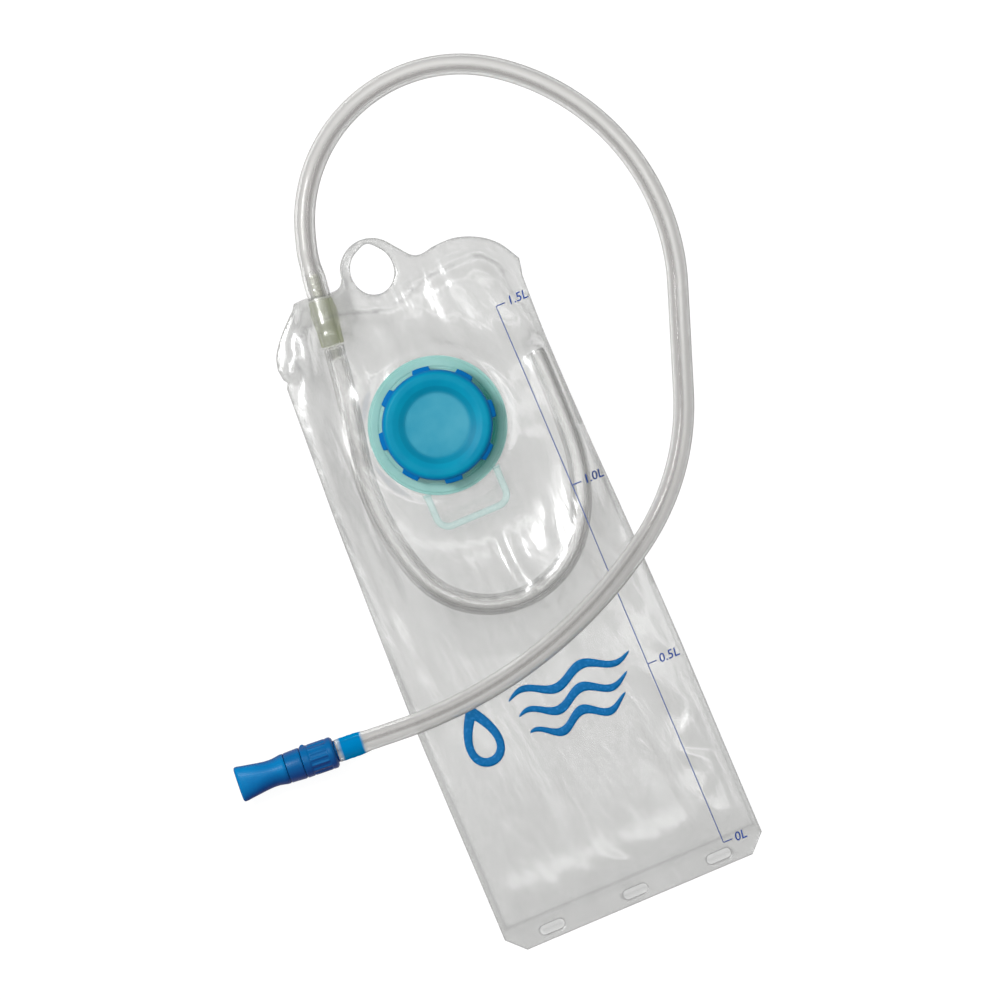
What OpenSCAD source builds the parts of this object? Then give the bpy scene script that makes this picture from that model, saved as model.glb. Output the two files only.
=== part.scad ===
// Flat-lying hydration bladder: a welded film bag with a screw-cap filler, a dip tube,
// a long drinking hose and a push-pull bite valve. Millimetres, +Z out of the front film.
// The origin is the centre of the hanging hole, in the plane where the two films are welded.

/* [Bag] */
// Width across the side welds
bag_w = 144; // [140:1:150]
// Distance from the hanging hole down to the bottom edge
bag_drop = 357; // [340:1:380]
// Thickness of one film
film_t = 0.45; // [0.3:0.05:0.6]
// Height of the chamber's filler and dip tube zone when empty
chamber_h = 12.6; // [12.6:0.1:14]
// Height of the flat lower part when empty
lower_h = 2.6; // [1.5:0.1:2.8]
// Width of the side welds
side_weld = 2.5; // [1.5:0.5:3]
// Radius of the round shoulders
shoulder_r = 31.5; // [28:0.5:34]
// Cut across each bottom corner
corner_cut = 9; // [5:1:12]

/* [Hanging tab and slots] */
// Radius of the hanging hole
hang_r = 12; // [8:0.5:13]
// Radius of the tab around it
tab_r = 16.6; // [15:0.1:19]
// Distance between neighbouring slots in the bottom hem
slot_pitch = 47; // [40:1:50]
// Length of a hem slot
slot_l = 13.5; // [10:0.5:16]
// Width of a hem slot
slot_w = 5; // [3:0.5:6]

/* [Filler] */
// Distance from the hanging hole down to the filler's axis
filler_drop = 88; // [86:1:90]
// Radius of the flange that is welded to the front film
flange_r = 36.2; // [35:0.1:36.5]
// Outer radius of the screw cap without its lugs
cap_r = 28.6; // [28.2:0.1:29]
// Number of grip lugs round the cap
lug_n = 8; // [6:1:10]
// Radial height of a grip lug
lug_h = 2.1; // [1:0.1:2.5]
// Pitch of the cap's thread
thread_pitch = 4; // [3.5:0.5:4]
// Width of the folding finger loop
loop_w = 42; // [40:1:44]

/* [Hose] */
// Outside diameter of the hose
hose_od = 10.9; // [10.5:0.1:11.1]
// Bore of the hose
hose_id = 7.94; // [7.5:0.02:8]
// Tilt of the hose's plane, which lets it cross over the lower bag
hose_tilt = 0.73; // [0.6:0.01:0.9]

/* [Bite valve] */
// Diameter of the valve's rear collar
collar_d = 16.8; // [16:0.1:18]
// Width of the mouth end
mouth_w = 18.7; // [17:0.1:20]
// Thickness of the mouth end
mouth_t = 9.4; // [8:0.1:11]
// Travel of the mouthpiece between shut and open
pull_travel = 5; // [3:0.5:5]

/* [Hidden] */
$fn = 96;
hull_fn = 32;
// Clearance between parts that only touch
gap = 0.05;
// Length of a cutting tool that passes right through
through = 60;

// Bag outline
half_w = bag_w / 2 + 0.5;
shoulder_y = -half_w + 40.5;
shoulder_x = half_w - shoulder_r;
yoke_y = -3;
hem_h = 14;
slot_y = 6 - bag_drop;
fillet_r = 6;

// Chamber: a high zone over the dip tube's loop and the filler, and a flat lower zone
loop_x = 6.2;
loop_y = -140;
loop_r = 48;
chamber_top_y = -31;
chamber_low_y = -120;
wall_run = 4;
crown_half_w = half_w - side_weld - 3;

// Hose: its plane passes through the port mouth, and rises slowly away from the hanging tab
port_x = -29.1;
port_y = 9.4;
port_z = 6.25;
port_turn = 7;
cuff_od = 12.3;
cuff_l = 17.6;
cuff_taper = 5;
cuff_start = -12.8;
sleeve_r = 6.5;
sleeve_fit = 0.1;
wing_t = 1.2;
barb_d = 9.1;
stem_d = 7.9;
body_d = 8.9;
connector_bore_d = 5.2;
hose_steps = [[60, 10], [0, 5], [81, 109], [122, 74], [0, 56], [128, 36], [244, 38], [0, 18]];
dip_steps = [[600, 5], [0, 3], [136, -30], [loop_r, -130], [97, -28], [460, -6]];
dip_start = 39;
dip_z = 6.62;
bead_l = 0.5;
bead_d = 0.1;

// Filler stack, upwards from the chamber's top
flange_z = chamber_h + gap;
flange_t = 1.6;
neck_r = 24.6;
neck_bore_r = 21.6;
neck_h = 10.4;
thread_h = 1.1;
thread_root = 0.8;
thread_z = 4.2;
thread_turns = 1.2;
cap_bore_r = neck_r + thread_h + 0.5;
cap_z = flange_z + flange_t + 0.6;
cap_h = 13;
cap_top_z = cap_z + cap_h;
cap_roof = 2.2;
dish_r = 17.2;
dish_depth = 2.4;
gasket_t = 1.3;
gasket_z = flange_z + flange_t + neck_h + gap;
rim_r = 22.9;
shoulder_cap_r = 27;
lug_angle = 39;
lug_arc = 18;

// Finger loop: a D-shaped strap on a live hinge at the flange's lower edge
strap_w = 3.4;
loop_root_y = -filler_drop - 31.6;
loop_end_y = -140.4;
loop_corner_r = 8;
knuckle_r = 0.8;
knuckle_z = flange_z + flange_t / 2;
knuckle_l = 4.4;

// Bite valve, measured along its own axis from the collar's rear face
valve_tube_d = 9;
valve_tube_l = 24;
pin_d = 4.8;
pin_end = 31;
spout_bore = valve_tube_d + 0.06;
spout_sleeve_d = 12.6;
collar_l = 17.7;
collar_bore = 12.8;
spout_start = 6;
spout_face = 17.9;
nose_start = 27;
nose_d = 11.2;
nose_end = 36;
waist_s = 33.8;
waist_d = 14.3;
mouth_s = 53.2;
oring_s = 13;
spout_oring_s = 9;
oring_d = 1.2;
groove_w = 1.6;

// ---------- shared shapes ----------

// Frame of the port: local +Y points out of the bag along the hose, +Z up from the tilted plane
module port_frame() {
    translate([0, 0, port_z]) rotate([-hose_tilt, 0, 0])
        translate([port_x, port_y, 0]) rotate([0, 0, -port_turn]) children();
}

// Moves the children to the far end of one step: [radius, angle] bends right for a positive
// angle and left for a negative one, [0, length] is straight
module after_step(step) {
    r = step[0];
    a = step[1];
    side = a < 0 ? -1 : 1;
    if (r == 0) translate([0, a, 0]) children();
    else translate([side * r * (1 - cos(a)), r * sin(abs(a)), 0]) rotate([0, 0, -a]) children();
}

module after_steps(steps, i = 0) {
    if (i < len(steps)) after_step(steps[i]) after_steps(steps, i + 1) children();
    else children();
}

// One round step of tube
module tube_step(step, d) {
    r = step[0];
    a = step[1];
    if (r == 0) rotate([-90, 0, 0]) cylinder(h = a, d = d);
    else mirror([a < 0 ? 1 : 0, 0, 0]) translate([r, 0, 0]) rotate([0, 0, 180 - abs(a)])
        rotate_extrude(angle = abs(a)) translate([r, 0]) circle(d = d);
}

// A whole run of tangent steps, each begun with a hairline bead that seals the step before it
module tube_run(steps, d, i = 0) {
    if (i < len(steps)) {
        rod(-bead_l, bead_l, d + bead_d);
        tube_step(steps[i], d);
        after_step(steps[i]) tube_run(steps, d, i + 1);
    }
}

// A turned part on the local Y axis: points are [distance along Y, radius]
module turned(points) {
    rotate([-90, 0, 0]) rotate_extrude() polygon([for (p = points) [p[1], p[0]]]);
}

// A plain rod on the local Y axis from a to b
module rod(a, b, d) {
    translate([0, a, 0]) rotate([-90, 0, 0]) cylinder(h = b - a, d = d);
}

// An O-ring on the local Y axis that seals against a bore of radius wall_r
module ring_on_y(at, wall_r) {
    translate([0, at, 0]) rotate([-90, 0, 0])
        rotate_extrude() translate([wall_r - gap - oring_d / 2, 0]) circle(d = oring_d);
}

// Profile points of the groove that holds an O-ring in a shaft of radius r
function groove(at, r) = let (from = at - groove_w / 2, to = at + groove_w / 2, floor_r = r - oring_d)
    [[from, r], [from, floor_r], [to, floor_r], [to, r]];

module at_filler() {
    translate([0, -filler_drop, 0]) children();
}

// Everything under the given height
module below(z) {
    translate([-200, -400, z - through]) cube([400, 500, through]);
}

// A screw ridge: its section is a trapezium, faded out to nothing at both ends.
// root_r lies inside the wall that carries it, and tip_r is its crest.
module thread_ridge(root_r, tip_r, z0, turns) {
    steps = round(turns * 30);
    fade = 4;
    root_half = 0.8;
    tip_half = 0.4;
    function reach(i) = min(1, i / fade, (steps - i) / fade);
    function ring(i) = let (
        a = 360 * turns * i / steps,
        z = z0 + thread_pitch * turns * i / steps,
        tip = root_r + (tip_r - root_r) * (0.35 + 0.65 * reach(i))
    ) [for (p = [[root_r, -root_half], [tip, -tip_half], [tip, tip_half], [root_r, root_half]])
        [p[0] * cos(a), p[0] * sin(a), z + p[1]]];
    points = [for (i = [0:steps]) each ring(i)];
    outward = tip_r > root_r;
    sides = [for (i = [0:steps - 1]) for (k = [0:3])
        [4 * i + k, 4 * i + (k + 1) % 4, 4 * (i + 1) + (k + 1) % 4, 4 * (i + 1) + k]];
    caps = [[3, 2, 1, 0], [for (k = [0:3]) 4 * steps + k]];
    function tri(f) = [[f[0], f[1], f[2]], [f[0], f[2], f[3]]];
    faces = [for (f = concat(sides, caps)) each tri(f)];
    function flip(f) = [f[2], f[1], f[0]];
    polyhedron(points, outward ? faces : [for (f = faces) flip(f)]);
}

// ---------- bag ----------

module bag_outline() {
    offset(r = -fillet_r) offset(r = fillet_r) {
        circle(r = tab_r);
        for (side = [-1, 1]) translate([side * shoulder_x, shoulder_y]) circle(r = shoulder_r);
        translate([-shoulder_x, shoulder_y]) square([2 * shoulder_x, yoke_y - shoulder_y]);
        polygon([[-half_w, shoulder_y], [half_w, shoulder_y], [half_w, corner_cut - bag_drop],
                 [half_w - corner_cut, -bag_drop], [corner_cut - half_w, -bag_drop],
                 [-half_w, corner_cut - bag_drop]]);
    }
}

module hang_hole() {
    translate([0, 0, -2]) cylinder(h = 4, r = hang_r);
}

module hem_slots() {
    straight = slot_l - slot_w;
    for (i = [-1:1]) translate([i * slot_pitch, slot_y, -2]) {
        for (side = [-1, 1]) translate([side * straight / 2, 0, 0]) cylinder(h = 4, d = slot_w);
        translate([-straight / 2, -slot_w / 2, 0]) cube([straight, slot_w, 4]);
    }
}

// Footprint of the high zone, grown sideways by grow
module high_zone(grow) {
    side = crown_half_w + grow;
    translate([loop_x, loop_y]) circle(r = loop_r + 7 + 2 * grow, $fn = hull_fn);
    translate([-side, chamber_low_y]) square([2 * side, chamber_top_y - chamber_low_y + grow]);
}

// Footprint of the flat lower zone
module low_zone(grow) {
    side = crown_half_w - 2 + grow;
    low = -bag_drop + hem_h + 6 - grow;
    translate([-side, low]) square([2 * side, loop_y - low]);
}

// The space under the front film, shrunk by the film's thickness when inner is true
module chamber(inner) {
    drop = inner ? film_t : 0;
    base = inner ? -1 : 0;
    hull() {
        translate([0, 0, base]) linear_extrude(1 - base - 0.6) high_zone(wall_run - drop);
        translate([0, 0, chamber_h - 0.4 - drop]) linear_extrude(0.4) high_zone(-drop);
    }
    hull() {
        translate([0, 0, base]) linear_extrude(0.4 - base) low_zone(5 - drop);
        translate([0, 0, lower_h - 0.2 - drop]) linear_extrude(0.2) low_zone(-drop);
    }
}

// Section of the port, grown by grow: a round sleeve on a flat foot with two tapered wings.
// The films are welded to the foot, and the front film arches over the whole section.
module port_section(grow) {
    wing = 12 + grow;
    wing_top = wing_t - port_z + grow;
    brow = 4.4;
    brow_y = 5 + grow;
    circle(r = sleeve_r + grow);
    polygon([[-wing, -port_z], [wing, -port_z], [wing, wing_top],
             [brow, brow_y], [-brow, brow_y], [-wing, wing_top]]);
}

// A length of that section on the port's axis
module port_bar(from, to, grow) {
    port_frame() translate([0, to, 0]) rotate([90, 0, 0]) linear_extrude(to - from) port_section(grow);
}

module front_film() {
    color([0.86, 0.88, 0.88, 0.45])
    difference() {
        union() {
            linear_extrude(film_t) bag_outline();
            chamber(false);
            port_bar(-45, -15, film_t + sleeve_fit);
        }
        chamber(true);
        port_bar(-46, 10, sleeve_fit);
        at_filler() cylinder(h = through, r = neck_bore_r);
        hang_hole();
        hem_slots();
        below(0);
    }
}

module back_film() {
    color([0.8, 0.83, 0.83, 0.6])
    difference() {
        translate([0, 0, -film_t]) linear_extrude(film_t) bag_outline();
        hang_hole();
        hem_slots();
    }
}

// ---------- port and hoses ----------

module port_sleeve() {
    color([0.76, 0.8, 0.58, 0.8])
    difference() {
        port_bar(-38, -14, 0);
        port_frame() rod(-through, 0, body_d + 2 * gap);
        below(gap);
    }
}

module barb_connector() {
    stem_r = stem_d / 2;
    barb_r = barb_d / 2;
    body_r = body_d / 2;
    // Spigot for the dip tube, body in the sleeve, stop collar, then three barbs for the hose
    spigot = [[-46, 0], [-46, 3.4], [-45, stem_r - 0.1], [-38.2, stem_r - 0.1]];
    body = [[-38.2, body_r], [-13.9, body_r], [-13.9, 6], [-12.9, 6]];
    barbs = [[-12.9, stem_r], [-9.4, stem_r], [-9.4, barb_r], [-6.4, stem_r], [-5.6, stem_r],
             [-5.6, barb_r], [-2.8, stem_r], [-2.2, stem_r], [-2.2, barb_r - 0.2], [0, 3.4], [0, 0]];
    color([0.9, 0.93, 0.86, 0.8])
    port_frame() difference() {
        turned(concat(spigot, body, barbs));
        rod(-through, 10, connector_bore_d);
    }
}

// Outside of a stretched hose end: starts at the hose's end and blends into the plain hose
module cuff_outside() {
    neck = (hose_od + 2 * bead_d) / 2;
    turned([[0, 0], [0, cuff_od / 2], [cuff_l - cuff_taper, cuff_od / 2], [cuff_l, neck],
            [cuff_l + 2 * bead_l, neck], [cuff_l + 2 * bead_l, 0]]);
}

// Its bore, which fits over the barbs
module cuff_bore() {
    fit = barb_d / 2 + gap;
    neck = (hose_id + 2 * bead_d) / 2;
    turned([[-1, 0], [-1, fit], [cuff_l - cuff_taper + 1, fit], [cuff_l, neck],
            [cuff_l + 2 * bead_l, neck], [cuff_l + 2 * bead_l, 0]]);
}

// Puts the child on both ends of the drinking hose, facing inwards
module at_cuffs() {
    translate([0, cuff_start, 0]) children();
    translate([0, cuff_start + cuff_l, 0]) after_steps(hose_steps)
        translate([0, cuff_l, 0]) rotate([0, 0, 180]) children();
}

module drink_hose() {
    color([0.9, 0.91, 0.9, 0.6])
    port_frame() difference() {
        union() {
            translate([0, cuff_start + cuff_l, 0]) tube_run(hose_steps, hose_od);
            at_cuffs() cuff_outside();
        }
        translate([0, cuff_start + cuff_l, 0]) tube_run(hose_steps, hose_id);
        at_cuffs() cuff_bore();
    }
}

// The port's frame seen in plan, without its tilt
module port_plan() {
    translate([port_x, port_y, 0]) rotate([0, 0, -port_turn]) children();
}

module dip_tube() {
    color([0.88, 0.89, 0.86, 0.6])
    translate([0, 0, dip_z]) port_plan() translate([0, -dip_start, 0]) rotate([0, 0, 180])
        difference() {
            tube_run(dip_steps, hose_od);
            tube_run(dip_steps, hose_id);
        }
}

// ---------- filler ----------

// Puts the child on both knuckles of the finger loop's live hinge
module loop_roots() {
    for (side = [-1, 1]) translate([side * (loop_w - strap_w) / 2, loop_root_y, knuckle_z])
        rotate([0, 90, 0]) children();
}

module filler_flange() {
    slot_reach = 20;
    slot_wide = knuckle_l + 0.5;
    color([0.62, 0.82, 0.78, 0.75])
    difference() {
        at_filler() {
            translate([0, 0, flange_z]) cylinder(h = flange_t, r = flange_r);
            translate([0, 0, flange_z]) cylinder(h = flange_t + neck_h, r = neck_r);
            translate([0, 0, flange_z + flange_t])
                thread_ridge(neck_r - thread_root, neck_r + thread_h, thread_z, thread_turns);
        }
        at_filler() cylinder(h = through, r = neck_bore_r);
        loop_roots() cylinder(h = slot_wide, r = knuckle_r + 0.25, center = true);
        for (side = [-1, 1])
            translate([side * (loop_w - strap_w) / 2, loop_root_y - slot_reach / 2, knuckle_z])
                cube([slot_wide, slot_reach, 4], center = true);
    }
}

module loop_outline(inset) {
    w = loop_w - 2 * inset;
    h = loop_root_y - loop_end_y;
    offset(r = loop_corner_r - inset) offset(delta = inset - loop_corner_r)
        translate([-w / 2, loop_end_y + inset]) square([w, h + 20]);
}

module finger_loop() {
    color([0.78, 0.9, 0.88, 0.8]) {
        translate([0, 0, flange_z]) linear_extrude(flange_t) intersection() {
            difference() {
                loop_outline(0);
                loop_outline(strap_w);
            }
            translate([-loop_w, loop_end_y - 1]) square([2 * loop_w, loop_root_y - loop_end_y + 1]);
        }
        loop_roots() cylinder(h = knuckle_l, r = knuckle_r, center = true);
    }
}

module cap_gasket() {
    color([0.92, 0.92, 0.9])
    at_filler() translate([0, 0, gasket_z]) difference() {
        cylinder(h = gasket_t, r = neck_r + 0.8);
        translate([0, 0, -1]) cylinder(h = gasket_t + 2, r = neck_bore_r + 0.4);
    }
}

module screw_cap() {
    inner_z = gasket_z + gasket_t + gap;
    color([0.0, 0.52, 0.75])
    at_filler() {
        difference() {
            union() {
                rotate_extrude() polygon([[0, cap_z], [cap_r, cap_z], [cap_r, cap_top_z - 3],
                    [cap_r - 0.5, cap_top_z - 1.2], [shoulder_cap_r, cap_top_z], [rim_r, cap_top_z],
                    [dish_r, cap_top_z - dish_depth], [0, cap_top_z - dish_depth]]);
                for (i = [0:lug_n - 1]) rotate([0, 0, lug_angle + i * 360 / lug_n]) lug();
            }
            difference() {
                translate([0, 0, cap_z - 1]) cylinder(h = inner_z - cap_z + 1, r = cap_bore_r);
                translate([0, 0, inner_z - 3.2]) cylinder(h = 10, r = neck_bore_r - 0.6);
            }
            translate([0, 0, cap_z - 1])
                cylinder(h = cap_h - dish_depth - cap_roof + 1, r = neck_bore_r - 2.4);
        }
        translate([0, 0, flange_z + flange_t])
            rotate([0, 0, 180])
                thread_ridge(cap_bore_r + thread_root, cap_bore_r - thread_h, thread_z, thread_turns);
    }
}

// One grip lug: a block that follows the cap's wall
module lug() {
    low = cap_z + 1.2;
    tall = cap_top_z - 2.6 - low;
    far_x = 40 * cos(lug_arc / 2);
    far_y = 40 * sin(lug_arc / 2);
    translate([0, 0, low]) intersection() {
        difference() {
            cylinder(h = tall, r = cap_r + lug_h);
            translate([0, 0, -1]) cylinder(h = tall + 2, r = cap_r - 1);
        }
        linear_extrude(tall) polygon([[0, 0], [far_x, -far_y], [far_x, far_y]]);
    }
}

// ---------- bite valve ----------

// Frame of the valve: local +Y runs from the hose out through the mouth
module valve_frame() {
    port_frame() translate([0, cuff_start + cuff_l, 0]) after_steps(hose_steps)
        translate([0, cuff_l + 1, 0]) children();
}

module valve_stem() {
    stem_r = stem_d / 2;
    barb_r = barb_d / 2;
    tube_r = valve_tube_d / 2;
    pin_r = pin_d / 2;
    // Three barbs for the hose, a stop collar, then the tube that the spout slides on
    barbs = [[-13.6, 0], [-13.6, 3.4], [-11.4, barb_r - 0.2], [-11.4, stem_r], [-10.6, stem_r],
             [-7.8, barb_r], [-7.8, stem_r], [-7, stem_r], [-4.2, barb_r], [-4.2, stem_r]];
    stop = [[-0.8, stem_r], [-0.8, 5.8], [0, 5.8], [0, tube_r]];
    tube_end = [[valve_tube_l, tube_r], [valve_tube_l, 0]];
    color([0.05, 0.32, 0.62])
    valve_frame() {
        difference() {
            turned(concat(barbs, stop, groove(oring_s, tube_r), tube_end));
            rod(-20, valve_tube_l + 1, 5.4);
        }
        // Crossed webs carry the shut-off pin and leave four water ways
        for (a = [0, 90]) rotate([0, a, 0]) translate([-3.2, 20, -0.7]) cube([6.4, 3, 1.4]);
        turned([[20, 0], [20, 1.2], [pin_end - 8, pin_r], [pin_end - 0.8, pin_r],
                [pin_end, 1.6], [pin_end, 0]]);
    }
}

module valve_collar() {
    r = collar_d / 2;
    waist_r = r - 0.5;
    rib_n = 8;
    color([0.0, 0.4, 0.7])
    valve_frame() difference() {
        union() {
            turned([[gap, 0], [gap, r - 1.2], [1.2, r], [3.4, r], [4, waist_r], [13.6, waist_r],
                    [14.2, r], [collar_l - 0.4, r], [collar_l, r - 0.4], [collar_l, 0]]);
            for (i = [0:rib_n - 1]) rotate([0, i * 360 / rib_n, 0])
                translate([-1, 3.6, r - 1.2]) cube([2, 10.4, 1.1]);
            rotate([0, 90, 0]) translate([0, 15.8, r - 0.4]) cylinder(h = 1.3, d = 2, $fn = 24);
        }
        rod(-1, 30, valve_tube_d + 2 * gap);
        rod(4.6, 30, collar_bore);
    }
}

module stem_oring() {
    color([0.12, 0.12, 0.13])
    valve_frame() ring_on_y(oring_s, spout_bore / 2);
}

module valve_spout() {
    sleeve = spout_sleeve_d / 2;
    nose = nose_d / 2;
    back = [[spout_start, 0], [spout_start, sleeve]];
    skirt = [[spout_face, sleeve], [spout_face, 8.1], [18.6, 8.3], [nose_start - 0.6, 8]];
    // The nose ends in a snap bead that holds the mouthpiece
    tip = [[nose_start - 0.6, nose], [nose_end - 2.4, nose], [nose_end - 2.4, nose + 0.5],
           [nose_end - 1, nose + 0.5], [nose_end, nose - 0.4], [nose_end, 0]];
    color([0.0, 0.45, 0.72])
    valve_frame() difference() {
        turned(concat(back, groove(spout_oring_s, sleeve), skirt, tip));
        rod(0, 28, spout_bore);
        rod(0, through, pin_d + 0.06);
        rod(32, through, 8);
    }
}

module spout_oring() {
    color([0.12, 0.12, 0.13])
    valve_frame() ring_on_y(spout_oring_s, collar_bore / 2);
}

// A flattened disc on the valve's axis, for the mouthpiece's stations
module station(at, width, thick) {
    translate([0, at, 0]) rotate([-90, 0, 0]) scale([width / 10, thick / 10, 1])
        cylinder(h = 0.2, d = 10, $fn = hull_fn);
}

module mouthpiece() {
    color([0.0, 0.3, 0.62])
    valve_frame() difference() {
        union() {
            hull() {
                station(nose_start - 0.4, 16, 16);
                station(waist_s - 2, waist_d + 0.3, waist_d + 0.3);
            }
            hull() {
                station(waist_s - 2, waist_d + 0.3, waist_d + 0.3);
                station(waist_s + 2.5, waist_d + 0.2, waist_d - 0.6);
                station(mouth_s - 8, mouth_w - 0.8, mouth_t + 1.6);
            }
            hull() {
                station(mouth_s - 8, mouth_w - 0.8, mouth_t + 1.6);
                station(mouth_s - 1.6, mouth_w, mouth_t + 0.4);
                station(mouth_s - 0.2, mouth_w - 2.2, mouth_t - 1.8);
            }
        }
        rod(nose_start - 2, nose_end - 0.4, nose_d + 0.1);
        rod(nose_end - 2.7, nose_end + 0.6, nose_d + 1.1);
        hull() {
            station(nose_end + 0.4, nose_d, nose_d - 1);
            station(mouth_s - 3, mouth_w - 5, 3.2);
        }
        translate([-5.5, mouth_s - 4, -0.25]) cube([11, 5, 0.5]);
    }
}

front_film();
back_film();
port_sleeve();
barb_connector();
drink_hose();
dip_tube();
filler_flange();
finger_loop();
cap_gasket();
screw_cap();
valve_stem();
valve_collar();
stem_oring();
valve_spout();
spout_oring();
mouthpiece();
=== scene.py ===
from math import atan, atan2, cos, degrees, dist, exp, pi, radians, remainder, sin, sqrt

import bmesh
import bpy
import numpy as np
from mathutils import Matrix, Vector
from mathutils.geometry import delaunay_2d_cdt


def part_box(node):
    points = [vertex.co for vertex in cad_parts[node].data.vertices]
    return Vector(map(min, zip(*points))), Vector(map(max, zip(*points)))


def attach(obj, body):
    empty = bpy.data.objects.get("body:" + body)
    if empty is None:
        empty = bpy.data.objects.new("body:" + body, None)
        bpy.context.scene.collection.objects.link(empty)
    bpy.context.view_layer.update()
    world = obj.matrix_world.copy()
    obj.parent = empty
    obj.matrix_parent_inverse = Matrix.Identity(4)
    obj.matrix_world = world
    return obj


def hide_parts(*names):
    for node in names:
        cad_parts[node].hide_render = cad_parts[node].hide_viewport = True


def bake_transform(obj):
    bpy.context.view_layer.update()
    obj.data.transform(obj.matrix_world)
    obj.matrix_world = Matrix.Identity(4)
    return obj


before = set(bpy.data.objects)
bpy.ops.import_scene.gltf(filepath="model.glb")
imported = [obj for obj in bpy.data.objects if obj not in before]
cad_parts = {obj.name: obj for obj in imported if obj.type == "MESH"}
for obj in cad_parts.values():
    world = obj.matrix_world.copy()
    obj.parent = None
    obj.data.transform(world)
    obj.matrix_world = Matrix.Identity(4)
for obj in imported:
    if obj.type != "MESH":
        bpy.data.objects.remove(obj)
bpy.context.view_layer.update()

MM = 0.001
TAU = 2 * pi
scene = bpy.context.scene


# ---------- sizes, in millimetres ----------

def box_mm(node):
    """Lowest and highest corners of a CAD node, in millimetres."""
    low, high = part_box(node)
    return np.array(low) / MM, np.array(high) / MM


film_low, film_high = box_mm("back_film")
flange_low, flange_high = box_mm("filler_flange")
cap_low, cap_high = box_mm("screw_cap")
dip_low, dip_high = box_mm("dip_tube")
loop_low, loop_high = box_mm("finger_loop")

# the bag
FILM_T = film_high[2] - film_low[2]
HALF_W = film_high[0]
BOTTOM_Y = film_low[1]
TAB_R = film_high[1]
HANG_R = 12.0
SHOULDER_R = 31.5
CORNER_CUT = 9.0
HEM_H = 14.0
SLOT_PITCH, SLOT_L, SLOT_W = 47.0, 13.5, 5.0
SLOT_Y = BOTTOM_Y + 6.0

# the filler and its cap
FILLER_Y = (flange_low[1] + flange_high[1]) / 2
FLANGE_R = (flange_high[0] - flange_low[0]) / 2
FLANGE_Z, FLANGE_T = flange_low[2], 1.6
FLANGE_TOP, NECK_TOP = FLANGE_Z + FLANGE_T, flange_high[2]
NECK_R, NECK_BORE_R = 24.6, 21.6
THREAD_Z, THREAD_PITCH, THREAD_TURNS, THREAD_H = FLANGE_TOP + 4.2, 4.0, 1.2, 1.1
CAP_Z, CAP_TOP = cap_low[2], cap_high[2]
CAP_R, CAP_BORE_R = 28.6, 26.2
LUG_H, LUG_N = 2.1, 8
LUG_START, LUG_ARC = radians(39), radians(18)
DISH_R, RIM_R, CROWN_R = 17.2, 22.9, 27.0
GASKET_Z, GASKET_T = box_mm("cap_gasket")[0][2], 1.28
LOOP_ROOT_Y = FILLER_Y - 31.6
STRAP_W, STRAP_T, STRAP_BEND_R = 3.4, 1.6, 6.3

# the hoses: runs of [bend radius, degrees], or of [0, straight length]
HOSE_R, BORE_R = 5.45, 3.97
PORT_TURN, HOSE_TILT = radians(7), radians(0.73)
PORT = (-29.1, 9.4, 6.25)
CUFF_START, CUFF_L, CUFF_R, CUFF_BORE_R = -12.8, 17.6, 5.99, 4.6
BARB_RINGS = (3.4, 7.2, 10.6)
HOSE_STEPS = [(60, 10), (0, 5), (81, 109), (122, 74), (0, 56), (128, 36), (244, 38), (0, 18)]
DIP_STEPS = [(600, 5), (0, 3), (136, -30), (48, -130), (97, -28), (460, -6)]
DIP_START = 39.0
DIP_Z = (dip_low[2] + dip_high[2]) / 2
HOSE_SIDES, DIP_SIDES = 48, 40


# ---------- small tools ----------

def srgb(r, g, b):
    """A colour given as it looks on screen, 0-255, in Blender's linear values."""
    def one(c):
        c /= 255
        return c / 12.92 if c <= 0.04045 else ((c + 0.055) / 1.055) ** 2.4
    return (one(r), one(g), one(b), 1.0)


def smooth(low, high, x):
    """0 below low, 1 above high, and a smooth step between them."""
    t = np.clip((x - low) / (high - low), 0, 1)
    return t * t * (3 - 2 * t)


def bell(x, width):
    """1 where x is 0, and near 0 beyond about twice the width."""
    return np.exp(-(x / width) ** 2)


def lattice(ix, iy, seed):
    """A repeatable random number from 0 to 1 for each whole-number point."""
    v = np.sin(ix * 127.1 + iy * 311.7 + seed * 74.7) * 43758.5453
    return v - np.floor(v)


def noise(x, y, seed):
    """Smooth value noise from -1 to 1."""
    ix, iy = np.floor(x), np.floor(y)
    fx, fy = x - ix, y - iy
    ux, uy = fx * fx * fx * (fx * (6 * fx - 15) + 10), fy * fy * fy * (fy * (6 * fy - 15) + 10)
    a = lattice(ix, iy, seed) * (1 - ux) + lattice(ix + 1, iy, seed) * ux
    b = lattice(ix, iy + 1, seed) * (1 - ux) + lattice(ix + 1, iy + 1, seed) * ux
    return 2 * (a * (1 - uy) + b * uy) - 1


def half_noise(x, y, seed):
    """The same noise, from 0 to 1."""
    return 0.5 + 0.5 * noise(x, y, seed)


def put(name, data):
    """Adds an object to the scene."""
    thing = bpy.data.objects.new(name, data)
    scene.collection.objects.link(thing)
    return thing


def link(name, mesh, smooth_faces=True):
    piece = put(name, mesh)
    for p in mesh.polygons:
        p.use_smooth = smooth_faces
    return piece


def mesh_piece(name, points_mm, faces, smooth_faces=True):
    mesh = bpy.data.meshes.new(name)
    mesh.from_pydata([tuple(float(c) * MM for c in p) for p in points_mm], [], faces)
    mesh.validate()
    mesh.update()
    return link(name, mesh, smooth_faces)


def mend(piece, merge=False):
    """Turns every face outward, and joins doubled points if asked."""
    bm = bmesh.new()
    bm.from_mesh(piece.data)
    if merge:
        bmesh.ops.remove_doubles(bm, verts=bm.verts, dist=1e-7)
    bmesh.ops.recalc_face_normals(bm, faces=bm.faces)
    bm.to_mesh(piece.data)
    bm.free()
    return piece


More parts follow.
